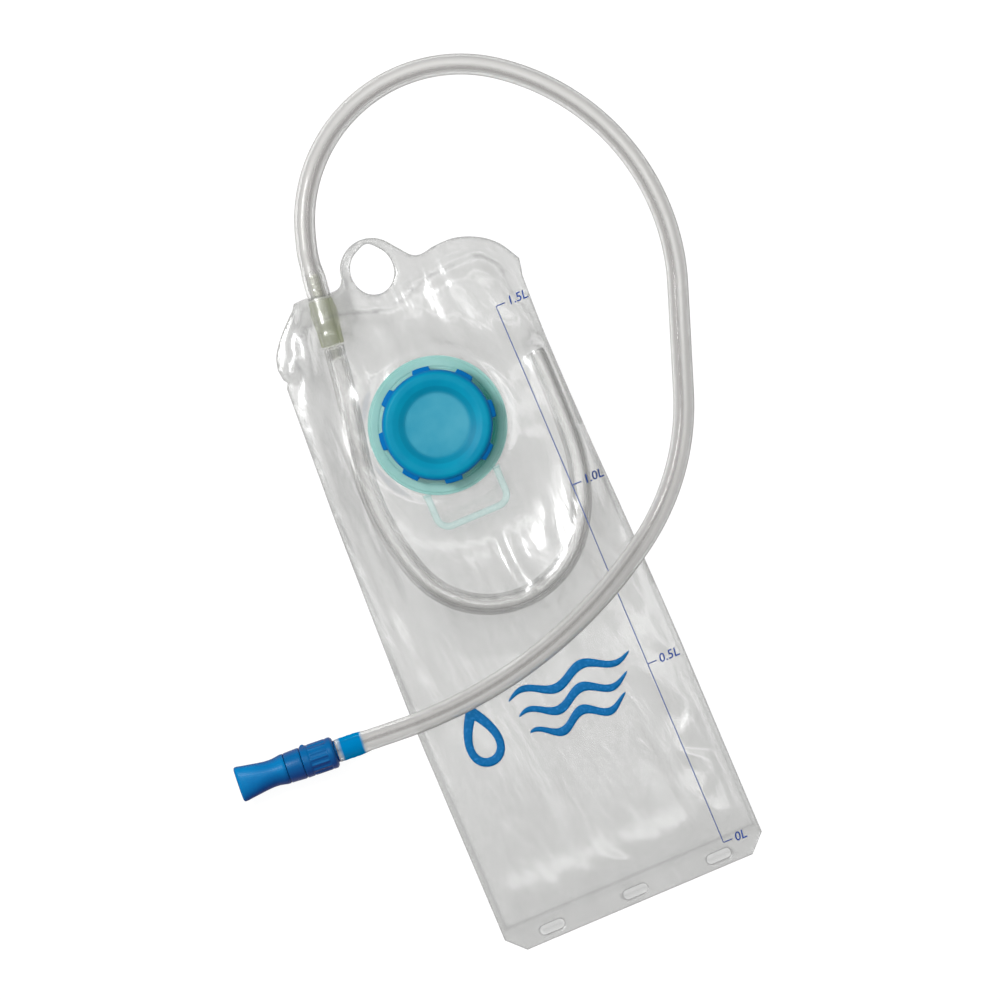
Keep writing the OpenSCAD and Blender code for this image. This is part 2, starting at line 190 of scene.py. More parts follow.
def ring_faces(p, q, sides):
    """Faces between two rings of points, which start at p and q."""
    return [(p + k, p + (k + 1) % sides, q + (k + 1) % sides, q + k) for k in range(sides)]


def mark_points(piece, name, kind, values):
    """Stores values on the points of both of a piece's walls, for its material."""
    layer = piece.data.attributes.new(name, kind, "POINT")
    both = np.concatenate([values, values]).astype(np.float32).ravel()
    layer.data.foreach_set("vector" if kind == "FLOAT_VECTOR" else "value", both)


# ---------- paths ----------

def walk(steps, spacing=1.5):
    """Points along a run of [radius, degrees] bends and [0, length] straights, from the origin along +Y."""
    x, y, heading = 0.0, 0.0, 0.0
    out = [(x, y)]
    for r, a in steps:
        length = a if r == 0 else r * radians(abs(a))
        turn = 0.0 if r == 0 else radians(a)
        n = max(2, round(length / spacing))
        for _ in range(n):
            mid = heading + turn / n / 2
            chord = length / n if turn == 0 else 2 * r * sin(abs(turn) / n / 2)
            x += chord * sin(mid)
            y += chord * cos(mid)
            heading += turn / n
            out.append((x, y))
    return out


def run_length(points):
    """Distance along a path at each of its points."""
    return np.concatenate([[0], np.cumsum(np.linalg.norm(np.diff(points, axis=0), axis=1))])


def headings(points):
    """Unit vectors along a path."""
    tangent = np.gradient(points, axis=0)
    return tangent / np.linalg.norm(tangent, axis=1)[:, None]


def from_port(x, y, tilt=HOSE_TILT):
    """A point of the port's plane, in the row's frame."""
    c, s = cos(PORT_TURN), sin(PORT_TURN)
    px, py = PORT[0] + x * c + y * s, PORT[1] - x * s + y * c
    return np.array([px, py * cos(tilt), PORT[2] - py * sin(tilt)])


def hose_line():
    """Centre line of the drinking hose, with its straight stretched ends."""
    head = [(0.0, CUFF_START + i) for i in range(int(CUFF_L) + 1)]
    run = [(x, y + CUFF_START + CUFF_L) for x, y in walk([*HOSE_STEPS, (0, CUFF_L)])]
    return np.array([from_port(x, y) for x, y in head + run])


def dip_line():
    """Centre line of the dip tube, level inside the bag."""
    points = np.array([from_port(-x, -DIP_START - y, 0.0) for x, y in walk(DIP_STEPS)])
    points[:, 2] = DIP_Z
    return points


def tube(name, points, outer, inner, sides):
    """A hollow tube along points that lie nearly in a level plane, with a radius for each point."""
    tangent = headings(points)
    across = np.cross(tangent, [0, 0, 1.0])
    across /= np.linalg.norm(across, axis=1)[:, None]
    up = np.cross(across, tangent)
    angle = np.arange(sides) * TAU / sides
    verts, faces = [], []
    for radius in (outer, inner):
        round_it = (np.cos(angle)[None, :, None] * across[:, None, :]
                    + np.sin(angle)[None, :, None] * up[:, None, :])
        verts.append((points[:, None, :] + radius[:, None, None] * round_it).reshape(-1, 3))
    n = len(points)
    base = n * sides
    last = base - sides
    for i in range(n - 1):
        for a, b, d, c in ring_faces(i * sides, (i + 1) * sides, sides):
            faces += [(a, b, d, c), (base + b, base + a, base + c, base + d)]
    for k in range(sides):
        j = (k + 1) % sides
        faces += [(j, k, base + k, base + j), (last + k, last + j, base + last + j, base + last + k)]
    piece = mesh_piece(name, np.concatenate(verts), faces)
    # lay holds the place on the wall, stretched along the tube, for long die lines
    stretch = np.repeat(run_length(points) / 420, sides)
    lay = np.stack([np.tile(np.cos(angle), n), np.tile(np.sin(angle), n), stretch], 1)
    mark_points(piece, "lay", "FLOAT_VECTOR", lay)
    return piece


def soften(points, radius, steps=4):
    """Rounds every inner corner of a profile with a short curve."""
    points = [np.array(p, float) for p in points]
    out = [points[0]]
    for a, b, c in zip(points, points[1:], points[2:]):
        before, after = a - b, c - b
        cut = min(radius, 0.45 * np.linalg.norm(before), 0.45 * np.linalg.norm(after))
        p, q = b + before / np.linalg.norm(before) * cut, b + after / np.linalg.norm(after) * cut
        for i in range(steps + 1):
            t = i / steps
            out.append((1 - t) ** 2 * p + 2 * t * (1 - t) * b + t * t * q)
    return [*out, points[-1]]


def loft(name, place, stations, sides=96, shape=None, ring=False):
    """A surface through stations (s, half_width, half_depth, squareness) about an axis.
    place turns (s, u, v) into a point. ring joins the last station to the first; otherwise the ends close."""
    angle = np.arange(sides) * TAU / sides
    verts, faces = [], []
    for station in stations:
        s, a = station[0], station[1]
        b = station[2] if len(station) > 2 else a
        power = 2 / (station[3] if len(station) > 3 else 2)
        u = a * np.sign(np.cos(angle)) * np.abs(np.cos(angle)) ** power
        v = b * np.sign(np.sin(angle)) * np.abs(np.sin(angle)) ** power
        if shape is not None:
            grow = shape(angle, s, max(a, b))
            u, v = u + grow * np.cos(angle), v + grow * np.sin(angle)
        verts += [place(s, uu, vv) for uu, vv in zip(u, v)]
    n = len(stations)
    for i in range(n if ring else n - 1):
        faces += ring_faces(i * sides, ((i + 1) % n) * sides, sides)
    if not ring:
        for first, station, flip in ((0, stations[0], True), ((n - 1) * sides, stations[-1], False)):
            centre = len(verts)
            verts.append(place(station[0], 0, 0))
            for k in range(sides):
                a, b = first + k, first + (k + 1) % sides
                faces.append((b, a, centre) if flip else (a, b, centre))
    return mend(mesh_piece(name, verts, faces), merge=True)


def screw_ridge(name, place, root_r, tip_r, start=0.0):
    """The ridge of the screw thread, faded out at both ends."""
    steps = round(THREAD_TURNS * 60)
    verts, faces = [], []
    for i in range(steps + 1):
        a = start + TAU * THREAD_TURNS * i / steps
        reach = min(1, i / 6, (steps - i) / 6)
        tip = root_r + (tip_r - root_r) * (0.35 + 0.65 * reach)
        z = THREAD_Z + THREAD_PITCH * THREAD_TURNS * i / steps
        for r, dz in ((root_r, -0.8), (tip, -0.4), (tip, 0.4), (root_r, 0.8)):
            verts.append(place(z + dz, r * cos(a), r * sin(a)))
    for i in range(steps):
        faces += ring_faces(4 * i, 4 * i + 4, 4)
    faces += [(3, 2, 1, 0), tuple(4 * steps + k for k in range(4))]
    return mend(mesh_piece(name, verts, faces, smooth_faces=False))


# ---------- the films ----------

def arc(cx, cy, r, start, end, spacing=2.0):
    """Points along an arc, in degrees."""
    n = max(2, round(abs(radians(end - start)) * r / spacing))
    return [(cx + r * cos(radians(start + (end - start) * i / n)),
             cy + r * sin(radians(start + (end - start) * i / n))) for i in range(n + 1)]


def line(*corners, spacing=2.0):
    """Points along straight runs from corner to corner."""
    out = []
    for a, b in zip(corners, corners[1:]):
        n = max(1, round(dist(a, b) / spacing))
        out += [(a[0] + (b[0] - a[0]) * i / n, a[1] + (b[1] - a[1]) * i / n) for i in range(n + 1)]
    return out


def through(points, spacing=2.0):
    """A smooth run through a few points."""
    p = [points[0], *points, points[-1]]
    out = []
    for a, b, c, d in zip(p, p[1:], p[2:], p[3:]):
        n = max(1, round(dist(b, c) / spacing))
        for i in range(n):
            t = i / n
            out.append(tuple(
                0.5 * (2 * b[k] + (c[k] - a[k]) * t + (2 * a[k] - 5 * b[k] + 4 * c[k] - d[k]) * t * t
                       + (3 * b[k] - a[k] - 3 * c[k] + d[k]) * t ** 3) for k in (0, 1)))
    return out + [points[-1]]


def unique(points):
    """Drops points that repeat the one before them, and a last point that repeats the first."""
    out = []
    for p in points:
        if not out or dist(p, out[-1]) > 0.05:
            out.append(p)
    if dist(out[0], out[-1]) < 0.05:
        out.pop()
    return out


def bag_loop():
    """The bag's outline: hanging tab, yoke, round shoulders and cut bottom corners."""
    fillet, yoke_y = 6.0, -3.0
    sx, sy = HALF_W - SHOULDER_R, -32.0
    fy = yoke_y + fillet
    tab_fx = sqrt((TAB_R + fillet) ** 2 - fy ** 2)
    tab_angle = degrees(atan2(fy, tab_fx))
    sh_fx = sx - sqrt((SHOULDER_R + fillet) ** 2 - (fy - sy) ** 2)
    sh_angle = degrees(atan2(fy - sy, sh_fx - sx))
    crest = (arc(0, 0, TAB_R, 90, tab_angle) + arc(tab_fx, fy, fillet, 180 + tab_angle, 270)
             + arc(sh_fx, fy, fillet, 270, 180 + sh_angle))
    # right shoulder: slightly buckled, with a corner and a kink below it
    tab_end = (TAB_R * cos(radians(40)), TAB_R * sin(radians(40)))
    buckled = arc(0, 0, TAB_R, 90, 40)
    buckled += through([tab_end, (18.0, 3.8), (22.0, -0.8), (27.0, -2.4), (35.5, -1.1), (46.4, -1.5),
                        (57.5, -5.8), (66.3, -13.0), (72.9, -24.2)])
    buckled += line((72.9, -24.2), (71.9, -29.5), (71.0, -33))
    # left shoulder: curled over, which leaves a flatter corner with a small notch
    curled = arc(sx, sy, SHOULDER_R, sh_angle, 84)
    curled += through([(46.5, -3.6), (56, -12.5), (63, -21.5), (65.4, -29)])
    curled += line((65.4, -29), (64.7, -35), (63.3, -37), (64.8, -40))
    # the sides draw in a little down to the last straight stretch
    side_end = (HALF_W, -300)
    right_side = through([(71.0, -33), (69.9, -66), (70.3, -120), (71.3, -163), (HALF_W, -230), side_end])
    left_side = through([(64.8, -40), (67.5, -92), (69.2, -127), (72.2, -218), (HALF_W, -260), side_end])
    down = line(side_end, (HALF_W, BOTTOM_Y + CORNER_CUT), (HALF_W - CORNER_CUT, BOTTOM_Y), (0, BOTTOM_Y))
    left = crest + curled + left_side + down
    return unique(buckled + right_side + down + [(-x, y) for x, y in reversed(left)])


def hang_loop():
    """The hanging hole as it lies: the curled tab draws it out to a point at the top."""
    steps, point_at, point_width = 72, radians(79), 0.30
    out = []
    for i in range(steps):
        a = TAU * i / steps
        off = remainder(a - point_at, TAU)
        r = HANG_R - 0.5 + 1.2 * sin(a) ** 2 + 1.5 * exp(-(off / point_width) ** 2)
        out.append((r * cos(a) * 0.98, r * sin(a) - 0.4))
    return out


def slot_loop(cx):
    half = (SLOT_L - SLOT_W) / 2
    return unique(arc(cx + half, SLOT_Y, SLOT_W / 2, -90, 90, 1)
                  + arc(cx - half, SLOT_Y, SLOT_W / 2, 90, 270, 1))


OUTLINE = bag_loop()
HEM_SLOTS = [slot_loop(i * SLOT_PITCH) for i in (-1, 0, 1)]
HANG_LOOP = hang_loop()
FILLER_LOOP = unique(arc(0, FILLER_Y, NECK_BORE_R + 1, 0, 360))


def inside(x, y, loop):
    """Which points lie inside a closed loop."""
    hit = np.zeros(x.shape, bool)
    for (x1, y1), (x2, y2) in zip(loop, loop[1:] + loop[:1]):
        if y1 != y2:
            hit ^= ((y1 > y) != (y2 > y)) & (x < (x2 - x1) * (y - y1) / (y2 - y1) + x1)
    return hit


def distance(x, y, path, closed=True):
    """Distance from each point to a path."""
    best = np.full(x.shape, 1e9)
    ends = path[1:] + path[:1] if closed else path[1:]
    for (x1, y1), (x2, y2) in zip(path, ends):
        dx, dy = x2 - x1, y2 - y1
        t = np.clip(((x - x1) * dx + (y - y1) * dy) / (dx * dx + dy * dy + 1e-12), 0, 1)
        best = np.minimum(best, (x - x1 - t * dx) ** 2 + (y - y1 - t * dy) ** 2)
    return np.sqrt(best)


# a grid over the bag, on which the front film's height is worked out
GRID = 1.25
WELD_Z = 0.48
grid_x = np.arange(-HALF_W - 1, HALF_W + 1 + GRID, GRID)
grid_y = np.arange(BOTTOM_Y - 1, TAB_R + 1 + GRID, GRID)
X, Y = np.meshgrid(grid_x, grid_y, indexing="ij")
edge_gap = distance(X, Y, OUTLINE)
dip_points = dip_line()
dip_gap = distance(X, Y, [(p[0], p[1]) for p in dip_points[::2]], closed=False)
flange_gap = np.hypot(X, Y - FILLER_Y)


def chamber_depth():
    """Distance inside the inner seam: positive in the chamber, negative in the welds."""
    weld = 2.5 + 7.5 * smooth(-62, -30, Y)
    yoke = -14 - 8 * bell(X, 18)
    return np.minimum(np.minimum(edge_gap - weld, Y - BOTTOM_Y - HEM_H), yoke - Y)


def port_hump():
    """Height of the film over the port sleeve: round on top, with a skirt on each side."""
    crown_r, crown_half, skirt_half, sleeve_end = 7.15, 4.8, 16, -42
    c, s = cos(PORT_TURN), sin(PORT_TURN)
    dx, dy = X - PORT[0], Y - PORT[1]
    side, up = np.abs(dx * c - dy * s), dx * s + dy * c
    axis_z = PORT[2] - Y * sin(HOSE_TILT)
    crown = axis_z + np.sqrt(np.maximum(crown_r ** 2 - side ** 2, 0))
    skirt = axis_z + 5.6 - (side - 4.6) * (axis_z + 4.4) / 10.6
    hump = np.where(side < crown_half, crown, skirt)
    return np.where((up > sleeve_end) & (side < skirt_half), hump, -1.0)


seam_depth = chamber_depth()


def drape():
    """Rests the front film on the dip tube, the port and the flange, as a stretched sheet with a light
    downward pull, by over-relaxed sweeps over the grid's two colours in turn."""
    sweeps, relax, pull = 900, 1.75, 0.030 * GRID * GRID
    cover = HOSE_R + 0.62
    floor_z = WELD_Z + 0.35 + 0.9 * half_noise(X / 17, Y / 46, 3) * smooth(0, 12, seam_depth)
    over_tube = np.where(dip_gap < cover, DIP_Z + np.sqrt(np.maximum(cover ** 2 - dip_gap ** 2, 0)), -1)
    hump = port_hump()
    rest = np.maximum(np.maximum(floor_z, over_tube), hump)
    fixed = (seam_depth <= 0) | (flange_gap <= FLANGE_R)
    held = np.where(flange_gap <= FLANGE_R, FLANGE_Z - 0.05, np.maximum(WELD_Z, hump))
    z = np.where(fixed, held, np.maximum(rest, 4.0))
    even = (np.add.outer(np.arange(len(grid_x)), np.arange(len(grid_y))) % 2 == 0)[1:-1, 1:-1]
    free = ~fixed[1:-1, 1:-1]
    for _ in range(sweeps):
        for colour in (even, ~even):
            around = (z[:-2, 1:-1] + z[2:, 1:-1] + z[1:-1, :-2] + z[1:-1, 2:]) / 4
            core = z[1:-1, 1:-1]
            moved = np.maximum(core + relax * (around - pull / 4 - core), rest[1:-1, 1:-1])
            core[...] = np.where(free & colour, moved, core)
    return z


def wrinkles():
    """Outward creases: long upright folds down the bag, and soft gathers round the flange."""
    bend = 7 * noise(X / 46, Y / 75, 11) + 3 * noise(X / 20, Y / 34, 12)
    upright = half_noise((X + bend) / 7.5, Y / 95, 5)
    finer = half_noise((X - bend) / 4.2, Y / 60, 6)
    theta = np.arctan2(Y - FILLER_Y, X)
    spoke = half_noise(theta * 3.1 + 0.5 * noise(X / 15, Y / 15, 13) + 40, flange_gap / 40, 7)
    near_flange = bell(flange_gap - FLANGE_R - 10, 14)
    crumple = half_noise(X / 13 + 0.6 * noise(X / 20, Y / 20, 8), Y / 42, 9)
    upper = smooth(-235, -180, Y)
    height = upper * (2.5 * upright + 0.6 * finer + 0.8 * crumple) + (1 - upper) * 0.30 * upright
    # the lower right side and the strip above the hem lie puckered
    side = smooth(36, 52, X) * (1 - smooth(-240, -215, Y)) * smooth(-345, -320, Y)
    hem = bell(Y - BOTTOM_Y - HEM_H - 12, 9)
    pucker = half_noise(X / 9 + noise(Y / 18, X / 30, 14), Y / 20, 15)
    height = height + (2.6 * side + 1.3 * hem) * pucker
    height = height + 1.4 * near_flange * spoke
    room = smooth(0, 9, seam_depth) * smooth(FLANGE_R, FLANGE_R + 6, flange_gap)
    return np.maximum(height, 0) * room * (1 - 0.8 * bell(dip_gap, 5))


film_z = drape() + wrinkles()
# a raised line along the inner seam, and the curl of the left shoulder
film_z = film_z + 0.45 * bell(seam_depth, 1.4)
fold_gap = distance(X, Y, [(-44, -8), (-51, -18), (-56, -28), (-60, -34)], closed=False)
film_z = film_z + 2.6 * bell(fold_gap, 4.0) * smooth(1, 5, edge_gap)


def on_grid(values):
    """A function that reads a grid anywhere."""
    def read(x, y):
        fx = np.clip((np.asarray(x, float) - grid_x[0]) / GRID, 0, len(grid_x) - 1.001)
        fy = np.clip((np.asarray(y, float) - grid_y[0]) / GRID, 0, len(grid_y) - 1.001)
        ix, iy = fx.astype(int), fy.astype(int)
        tx, ty = fx - ix, fy - iy
        return (values[ix, iy] * (1 - tx) * (1 - ty) + values[ix + 1, iy] * tx * (1 - ty)
                + values[ix, iy + 1] * (1 - tx) * ty + values[ix + 1, iy + 1] * tx * ty)
    return read


film_top = on_grid(film_z)
seam_at = on_grid(seam_depth)


def sheet(name, loops, spacing, top, thickness, marks=None):
    """A closed thin sheet over an outline (the first loop) with holes, its upper face at top(x, y)."""
    def covers(x, y):
        keep = inside(x, y, loops[0])
        for hole in loops[1:]:
            keep &= ~inside(x, y, hole)
        return keep

    xs, ys = zip(*loops[0])
    gx, gy = np.meshgrid(np.arange(min(xs), max(xs), spacing), np.arange(min(ys), max(ys), spacing),
                         indexing="ij")
    gx, gy = gx.ravel(), gy.ravel()
    keep = covers(gx, gy)
    coords, edges = [], []
    for loop in loops:
        keep &= distance(gx, gy, loop) > spacing * 0.45
        first = len(coords)
        coords += [Vector(p) for p in loop]
        edges += [(first + i, first + (i + 1) % len(loop)) for i in range(len(loop))]
    coords += [Vector((x, y)) for x, y in zip(gx[keep], gy[keep])]
    flat, _, tris, *_ = delaunay_2d_cdt(coords, edges, [], 0, 1e-4)
    px, py = np.array([p.x for p in flat]), np.array([p.y for p in flat])
    tri = np.array([t for t in tris if len(t) == 3])
    tri = tri[covers(px[tri].mean(axis=1), py[tri].mean(axis=1))]
    a, b, c = tri.T
    cross = (px[b] - px[a]) * (py[c] - py[a]) - (py[b] - py[a]) * (px[c] - px[a])
    tri = np.where((cross < 0)[:, None], tri[:, ::-1], tri)
    n = len(px)
    faces = [tuple(int(v) for v in t) for t in tri] + [tuple(int(v) + n for v in t[::-1]) for t in tri]
    # the rim: each edge that only one triangle has, in the order in which it comes up
    used = dict.fromkeys((int(a), int(b)) for t in tri for a, b in ((t[0], t[1]), (t[1], t[2]), (t[2], t[0])))
    faces += [(b, a, a + n, b + n) for a, b in used if (b, a) not in used]
    z = top(px, py)
    points = np.concatenate([np.stack([px, py, z], 1), np.stack([px, py, z - thickness], 1)])
    piece = mesh_piece(name, points, faces)
    if marks is not None:
        mark_points(piece, "mark", "FLOAT", marks(px, py))
    return piece


def seam_marks(x, y):
    """How far a film is marked: a line at the inner seam, the hem's slots, a line of painted shade along the
    tab's curl, and less across the welded rim."""
    depth = seam_at(x, y)
    from_hole, curl_r = np.hypot(x, y), 14.9
    # painted shade: a dark line where the tab curls over
    curl = bell(from_hole - curl_r, 0.45) * smooth(-2, 3, -x) * (from_hole < TAB_R)
    slot = np.zeros(x.shape)
    for loop in HEM_SLOTS:
        rim = bell(distance(x, y, loop), 0.7)
        slot = np.maximum(slot, np.maximum(1.0 * inside(x, y, loop), rim))
    return np.maximum.reduce([0.8 * bell(depth, 1.3), 0.8 * curl, 0.4 * (depth < 0), slot])


front_film = sheet("front_film_sheet", [OUTLINE, HANG_LOOP, FILLER_LOOP, *HEM_SLOTS], 1.6, film_top,
                   FILM_T, seam_marks)
back_film = sheet("back_film_sheet", [OUTLINE, HANG_LOOP], 3.0, lambda x, y: np.full(x.shape, -0.03),
                  FILM_T - 0.06, seam_marks)


# ---------- hoses ----------

def cuffed(along, plain, stretched):
    """Radius along the hose: stretched over the barbs at both ends, with a faint bulge over each barb."""
    taper = 5.0
    from_end = np.minimum(along, along[-1] - along)
    swell = 1 - smooth(CUFF_L - taper - 1, CUFF_L, from_end)
    bulge = sum(0.16 * bell(from_end - at, 0.9) for at in BARB_RINGS)
    return plain + (stretched - plain) * swell + bulge * swell


hose_points = hose_line()
hose_along = run_length(hose_points)
hose = tube("drink_hose_tube", hose_points, cuffed(hose_along, HOSE_R, CUFF_R),
            cuffed(hose_along, BORE_R, CUFF_BORE_R), HOSE_SIDES)
# grip is 1 where the hose grips the valve's barbs, whose colour fills its wall, and below 0 over the
# clear port barbs
end_gap = hose_along[-1] - hose_along
grip = smooth(1.0, 2.2, end_gap) * (1 - smooth(13.2, 14.2, end_gap)) - 0.6 * (1 - smooth(11, 15, hose_along))
mark_points(hose, "grip", "FLOAT", np.repeat(grip, HOSE_SIDES))
dip = tube("dip_tube_run", dip_points, np.full(len(dip_points), HOSE_R), np.full(len(dip_points), BORE_R),
           DIP_SIDES)


# ---------- port ----------

HOSE_UP = np.array([0, sin(HOSE_TILT), cos(HOSE_TILT)])


def on_port(s, u, v):
    """The port's axis: s along it out of the bag, u across, v up."""
    return tuple(from_port(u, s) + v * HOSE_UP)


def flat_bottom(angle, s, reach):
    """Grows the sleeve's section sideways into two wings near its flat base."""
    low = np.clip(-np.sin(angle), 0, 1) ** 1.5
    wing = 5.2 * bell(np.abs(np.cos(angle)) - 0.80, 0.16) * (np.sin(angle) < 0)
    fade = min(1, (s + 39) / 4, (-13 - s) / 4)
    return wing * low * max(fade, 0) * (reach > 5.5)


sleeve_profile = soften([(-14, 4.55), (-14, 6.45), (-20, 6.45), (-38, 6.1), (-38, 4.55)], 0.7)
sleeve = loft("port_sleeve_body", on_port, [*sleeve_profile, (-37.9, 4.5), (-14.1, 4.5)], 96, flat_bottom,
              ring=True)
connector_profile = soften([
    (-46, 2.65), (-46, 3.3), (-45, 3.83), (-38.2, 3.83), (-38.2, 4.42), (-13.9, 4.42), (-13.9, 5.95),
    (-12.95, 5.95), (-12.95, 3.95), (-9.4, 3.95), (-9.4, 4.52), (-6.4, 3.95), (-5.6, 3.95), (-5.6, 4.52),
    (-2.8, 3.95), (-2.2, 3.95), (-2.2, 4.35), (0, 3.4), (0, 2.65)], 0.25)
connector = loft("barb_connector_body", on_port, [*connector_profile, (-0.2, 2.6), (-45.8, 2.6)], 64,
                 ring=True)


# ---------- filler ----------

def on_filler(s, u, v):
    """The filler's axis: s is height, u and v lie in plan."""
    return (u, FILLER_Y + v, s)


flange_profile = soften([
    (FLANGE_Z, NECK_BORE_R), (FLANGE_Z, FLANGE_R - 0.1), (FLANGE_Z + 0.9, FLANGE_R),
    (FLANGE_Z + 0.9, FLANGE_R - 1.1), (FLANGE_TOP, FLANGE_R - 1.7), (FLANGE_TOP, 31.0),
    (FLANGE_TOP - 0.35, 30.6), (FLANGE_TOP - 0.35, 29.8), (FLANGE_TOP, 29.4), (FLANGE_TOP, NECK_R),
    (NECK_TOP, NECK_R), (NECK_TOP, NECK_BORE_R)], 0.35)
flange = loft("filler_flange_disc", on_filler,
              [*flange_profile, (NECK_TOP - 0.3, NECK_BORE_R), (FLANGE_Z + 0.3, NECK_BORE_R)], 160, ring=True)
neck_thread = screw_ridge("neck_thread", on_filler, NECK_R - 0.4, NECK_R + THREAD_H)


def lugs(angle, s, reach):
    """Eight square-shouldered grip lugs on the cap's side wall."""
    if reach < CAP_BORE_R + 1.2:
        return np.zeros_like(angle)
    turn = (angle - LUG_START + pi / LUG_N) % (TAU / LUG_N) - pi / LUG_N
    across = 1 - smooth(LUG_ARC / 2 - 0.012, LUG_ARC / 2 + 0.012, np.abs(turn))
    upright = smooth(CAP_Z + 0.9, CAP_Z + 1.5, s) * (1 - smooth(CAP_TOP - 3.4, CAP_TOP - 1.9, s))
    return LUG_H * across * upright


CROWN_DROP, WALL_STEPS = 1.4, 26
cap_outside = soften([
    (CAP_TOP - 2.4, 0.001), (CAP_TOP - 2.4, DISH_R - 0.6), (CAP_TOP - 2.1, DISH_R),
    (CAP_TOP - 0.5, RIM_R - 1.2), (CAP_TOP, RIM_R + 0.4), (CAP_TOP, CROWN_R - 0.6),
    (CAP_TOP - CROWN_DROP, CAP_R - 0.4)], 0.9, 5)
cap_wall = [(CAP_TOP - CROWN_DROP - i * (CAP_TOP - CROWN_DROP - CAP_Z - 0.5) / WALL_STEPS,
             CAP_R - 0.4 + 0.4 * min(1, i / 5)) for i in range(1, WALL_STEPS + 1)]
cap_inside = [(CAP_Z, CAP_R - 0.5), (CAP_Z, CAP_BORE_R + 0.3), (CAP_Z + 0.4, CAP_BORE_R),
              (CAP_Z + 11.15, CAP_BORE_R), (CAP_Z + 11.2, 21.1), (CAP_Z + 8.1, 21.0), (CAP_Z + 8.0, 19.3),
              (CAP_Z + 8.4, 19.2), (CAP_Z + 8.4, 0.001)]
cap = loft("screw_cap_shell", on_filler, [*cap_outside, *cap_wall, *cap_inside], 480, lugs)
cap_thread = screw_ridge("cap_thread", on_filler, CAP_BORE_R + 0.5, CAP_BORE_R - THREAD_H, pi)
gasket_profile = soften([(GASKET_Z, 22.1), (GASKET_Z, 25.3), (GASKET_Z + GASKET_T, 25.3),
                         (GASKET_Z + GASKET_T, 22.1), (GASKET_Z, 22.1)], 0.35)
gasket = loft("cap_gasket_ring", on_filler, gasket_profile[:-1], 128, ring=True)


# ---------- finger loop ----------

def strap():
    """A softly rounded strap along a D, and a knuckle at each of its roots."""
    half = (loop_high[0] - loop_low[0]) / 2 - STRAP_W / 2 - 0.5
    low, r = loop_low[1] + STRAP_W / 2, STRAP_BEND_R
    z_mid = (loop_low[2] + loop_high[2]) / 2
    path = line((-half, LOOP_ROOT_Y), (-half, low + r), spacing=0.5)
    path += arc(-half + r, low + r, r, 180, 270, 0.8) + line((-half + r, low), (half - r, low), spacing=1.5)
    path += arc(half - r, low + r, r, 270, 360, 0.8) + line((half, low + r), (half, LOOP_ROOT_Y), spacing=0.5)
    path = np.array(unique(path))
    sides, squareness = 20, 0.6
    verts, faces = [], []
    for (x, y), (tx, ty) in zip(path, headings(path)):
        for k in range(sides):
            a = TAU * k / sides
            u = STRAP_W / 2 * np.sign(cos(a)) * abs(cos(a)) ** squareness
            v = STRAP_T / 2 * np.sign(sin(a)) * abs(sin(a)) ** squareness
            verts.append((x - ty * u, y + tx * u, z_mid + v))
    last = (len(path) - 1) * sides
    for first in range(0, last, sides):
        faces += ring_faces(first, first + sides, sides)
    faces += [tuple(range(sides))[::-1], tuple(last + k for k in range(sides))]
    piece = mesh_piece("finger_loop_strap", verts, faces)
    profile = soften([(-2.2, 0.001), (-2.2, 0.78), (2.2, 0.78), (2.2, 0.001)], 0.3)
    knuckles = []
    for name, x in (("left", -half), ("right", half)):
        knuckles.append(loft("loop_knuckle_" + name, lambda s, u, v: (x + s, LOOP_ROOT_Y + u, z_mid + v),
                             profile, 32))
    return piece, knuckles


loop, loop_knuckles = strap()


# ---------- bite valve ----------

COLLAR_R = 8.35
COLLAR_GAP = 1.0
valve_dir = hose_points[-1] - hose_points[-2]
valve_dir /= np.linalg.norm(valve_dir)
valve_zero = hose_points[-1] + valve_dir * COLLAR_GAP
valve_side = np.cross(valve_dir, HOSE_UP)


def on_valve(s, u, v):
    """The valve's axis: s from the collar's rear face to the mouth, u across in plan, v up."""
    return tuple(valve_zero + valve_dir * s + valve_side * u + HOSE_UP * v)


stem_profile = soften([
    (-13.6, 2.7), (-13.6, 3.4), (-11.4, 4.35), (-11.4, 3.95), (-10.6, 3.95), (-7.8, 4.52), (-7.8, 3.95),
    (-7, 3.95), (-4.2, 4.52), (-4.2, 3.95), (-0.8, 3.95), (-0.8, 5.8), (0, 5.8), (0, 4.5), (12.2, 4.5),
    (12.2, 3.3), (13.8, 3.3), (13.8, 4.5), (24, 4.5), (24, 2.7)], 0.25)
stem = loft("valve_stem_body", on_valve, [*stem_profile, (23.8, 2.7), (-13.4, 2.7)], 64, ring=True)
pin_profile = soften([(20, 0.001), (20, 1.2), (23, 2.38), (30.2, 2.38), (31, 1.6), (31, 0.001)], 0.4)
pin = loft("valve_stem_pin", on_valve, pin_profile, 48)


def ribs(angle, s, reach):
    """Fine lengthwise ribs on the collar, and one small index nub on its front edge."""
    if reach < 7.0:
        return np.zeros_like(angle)
    comb = 0.5 + 0.5 * np.cos(angle * 16)
    band = smooth(3.4, 4.4, s) * (1 - smooth(12.8, 13.8, s))
    nub = bell(angle - radians(6), 0.11) * exp(-((s - 15.8) / 1.1) ** 4)
    return 0.42 * comb ** 2 * band + 0.9 * nub


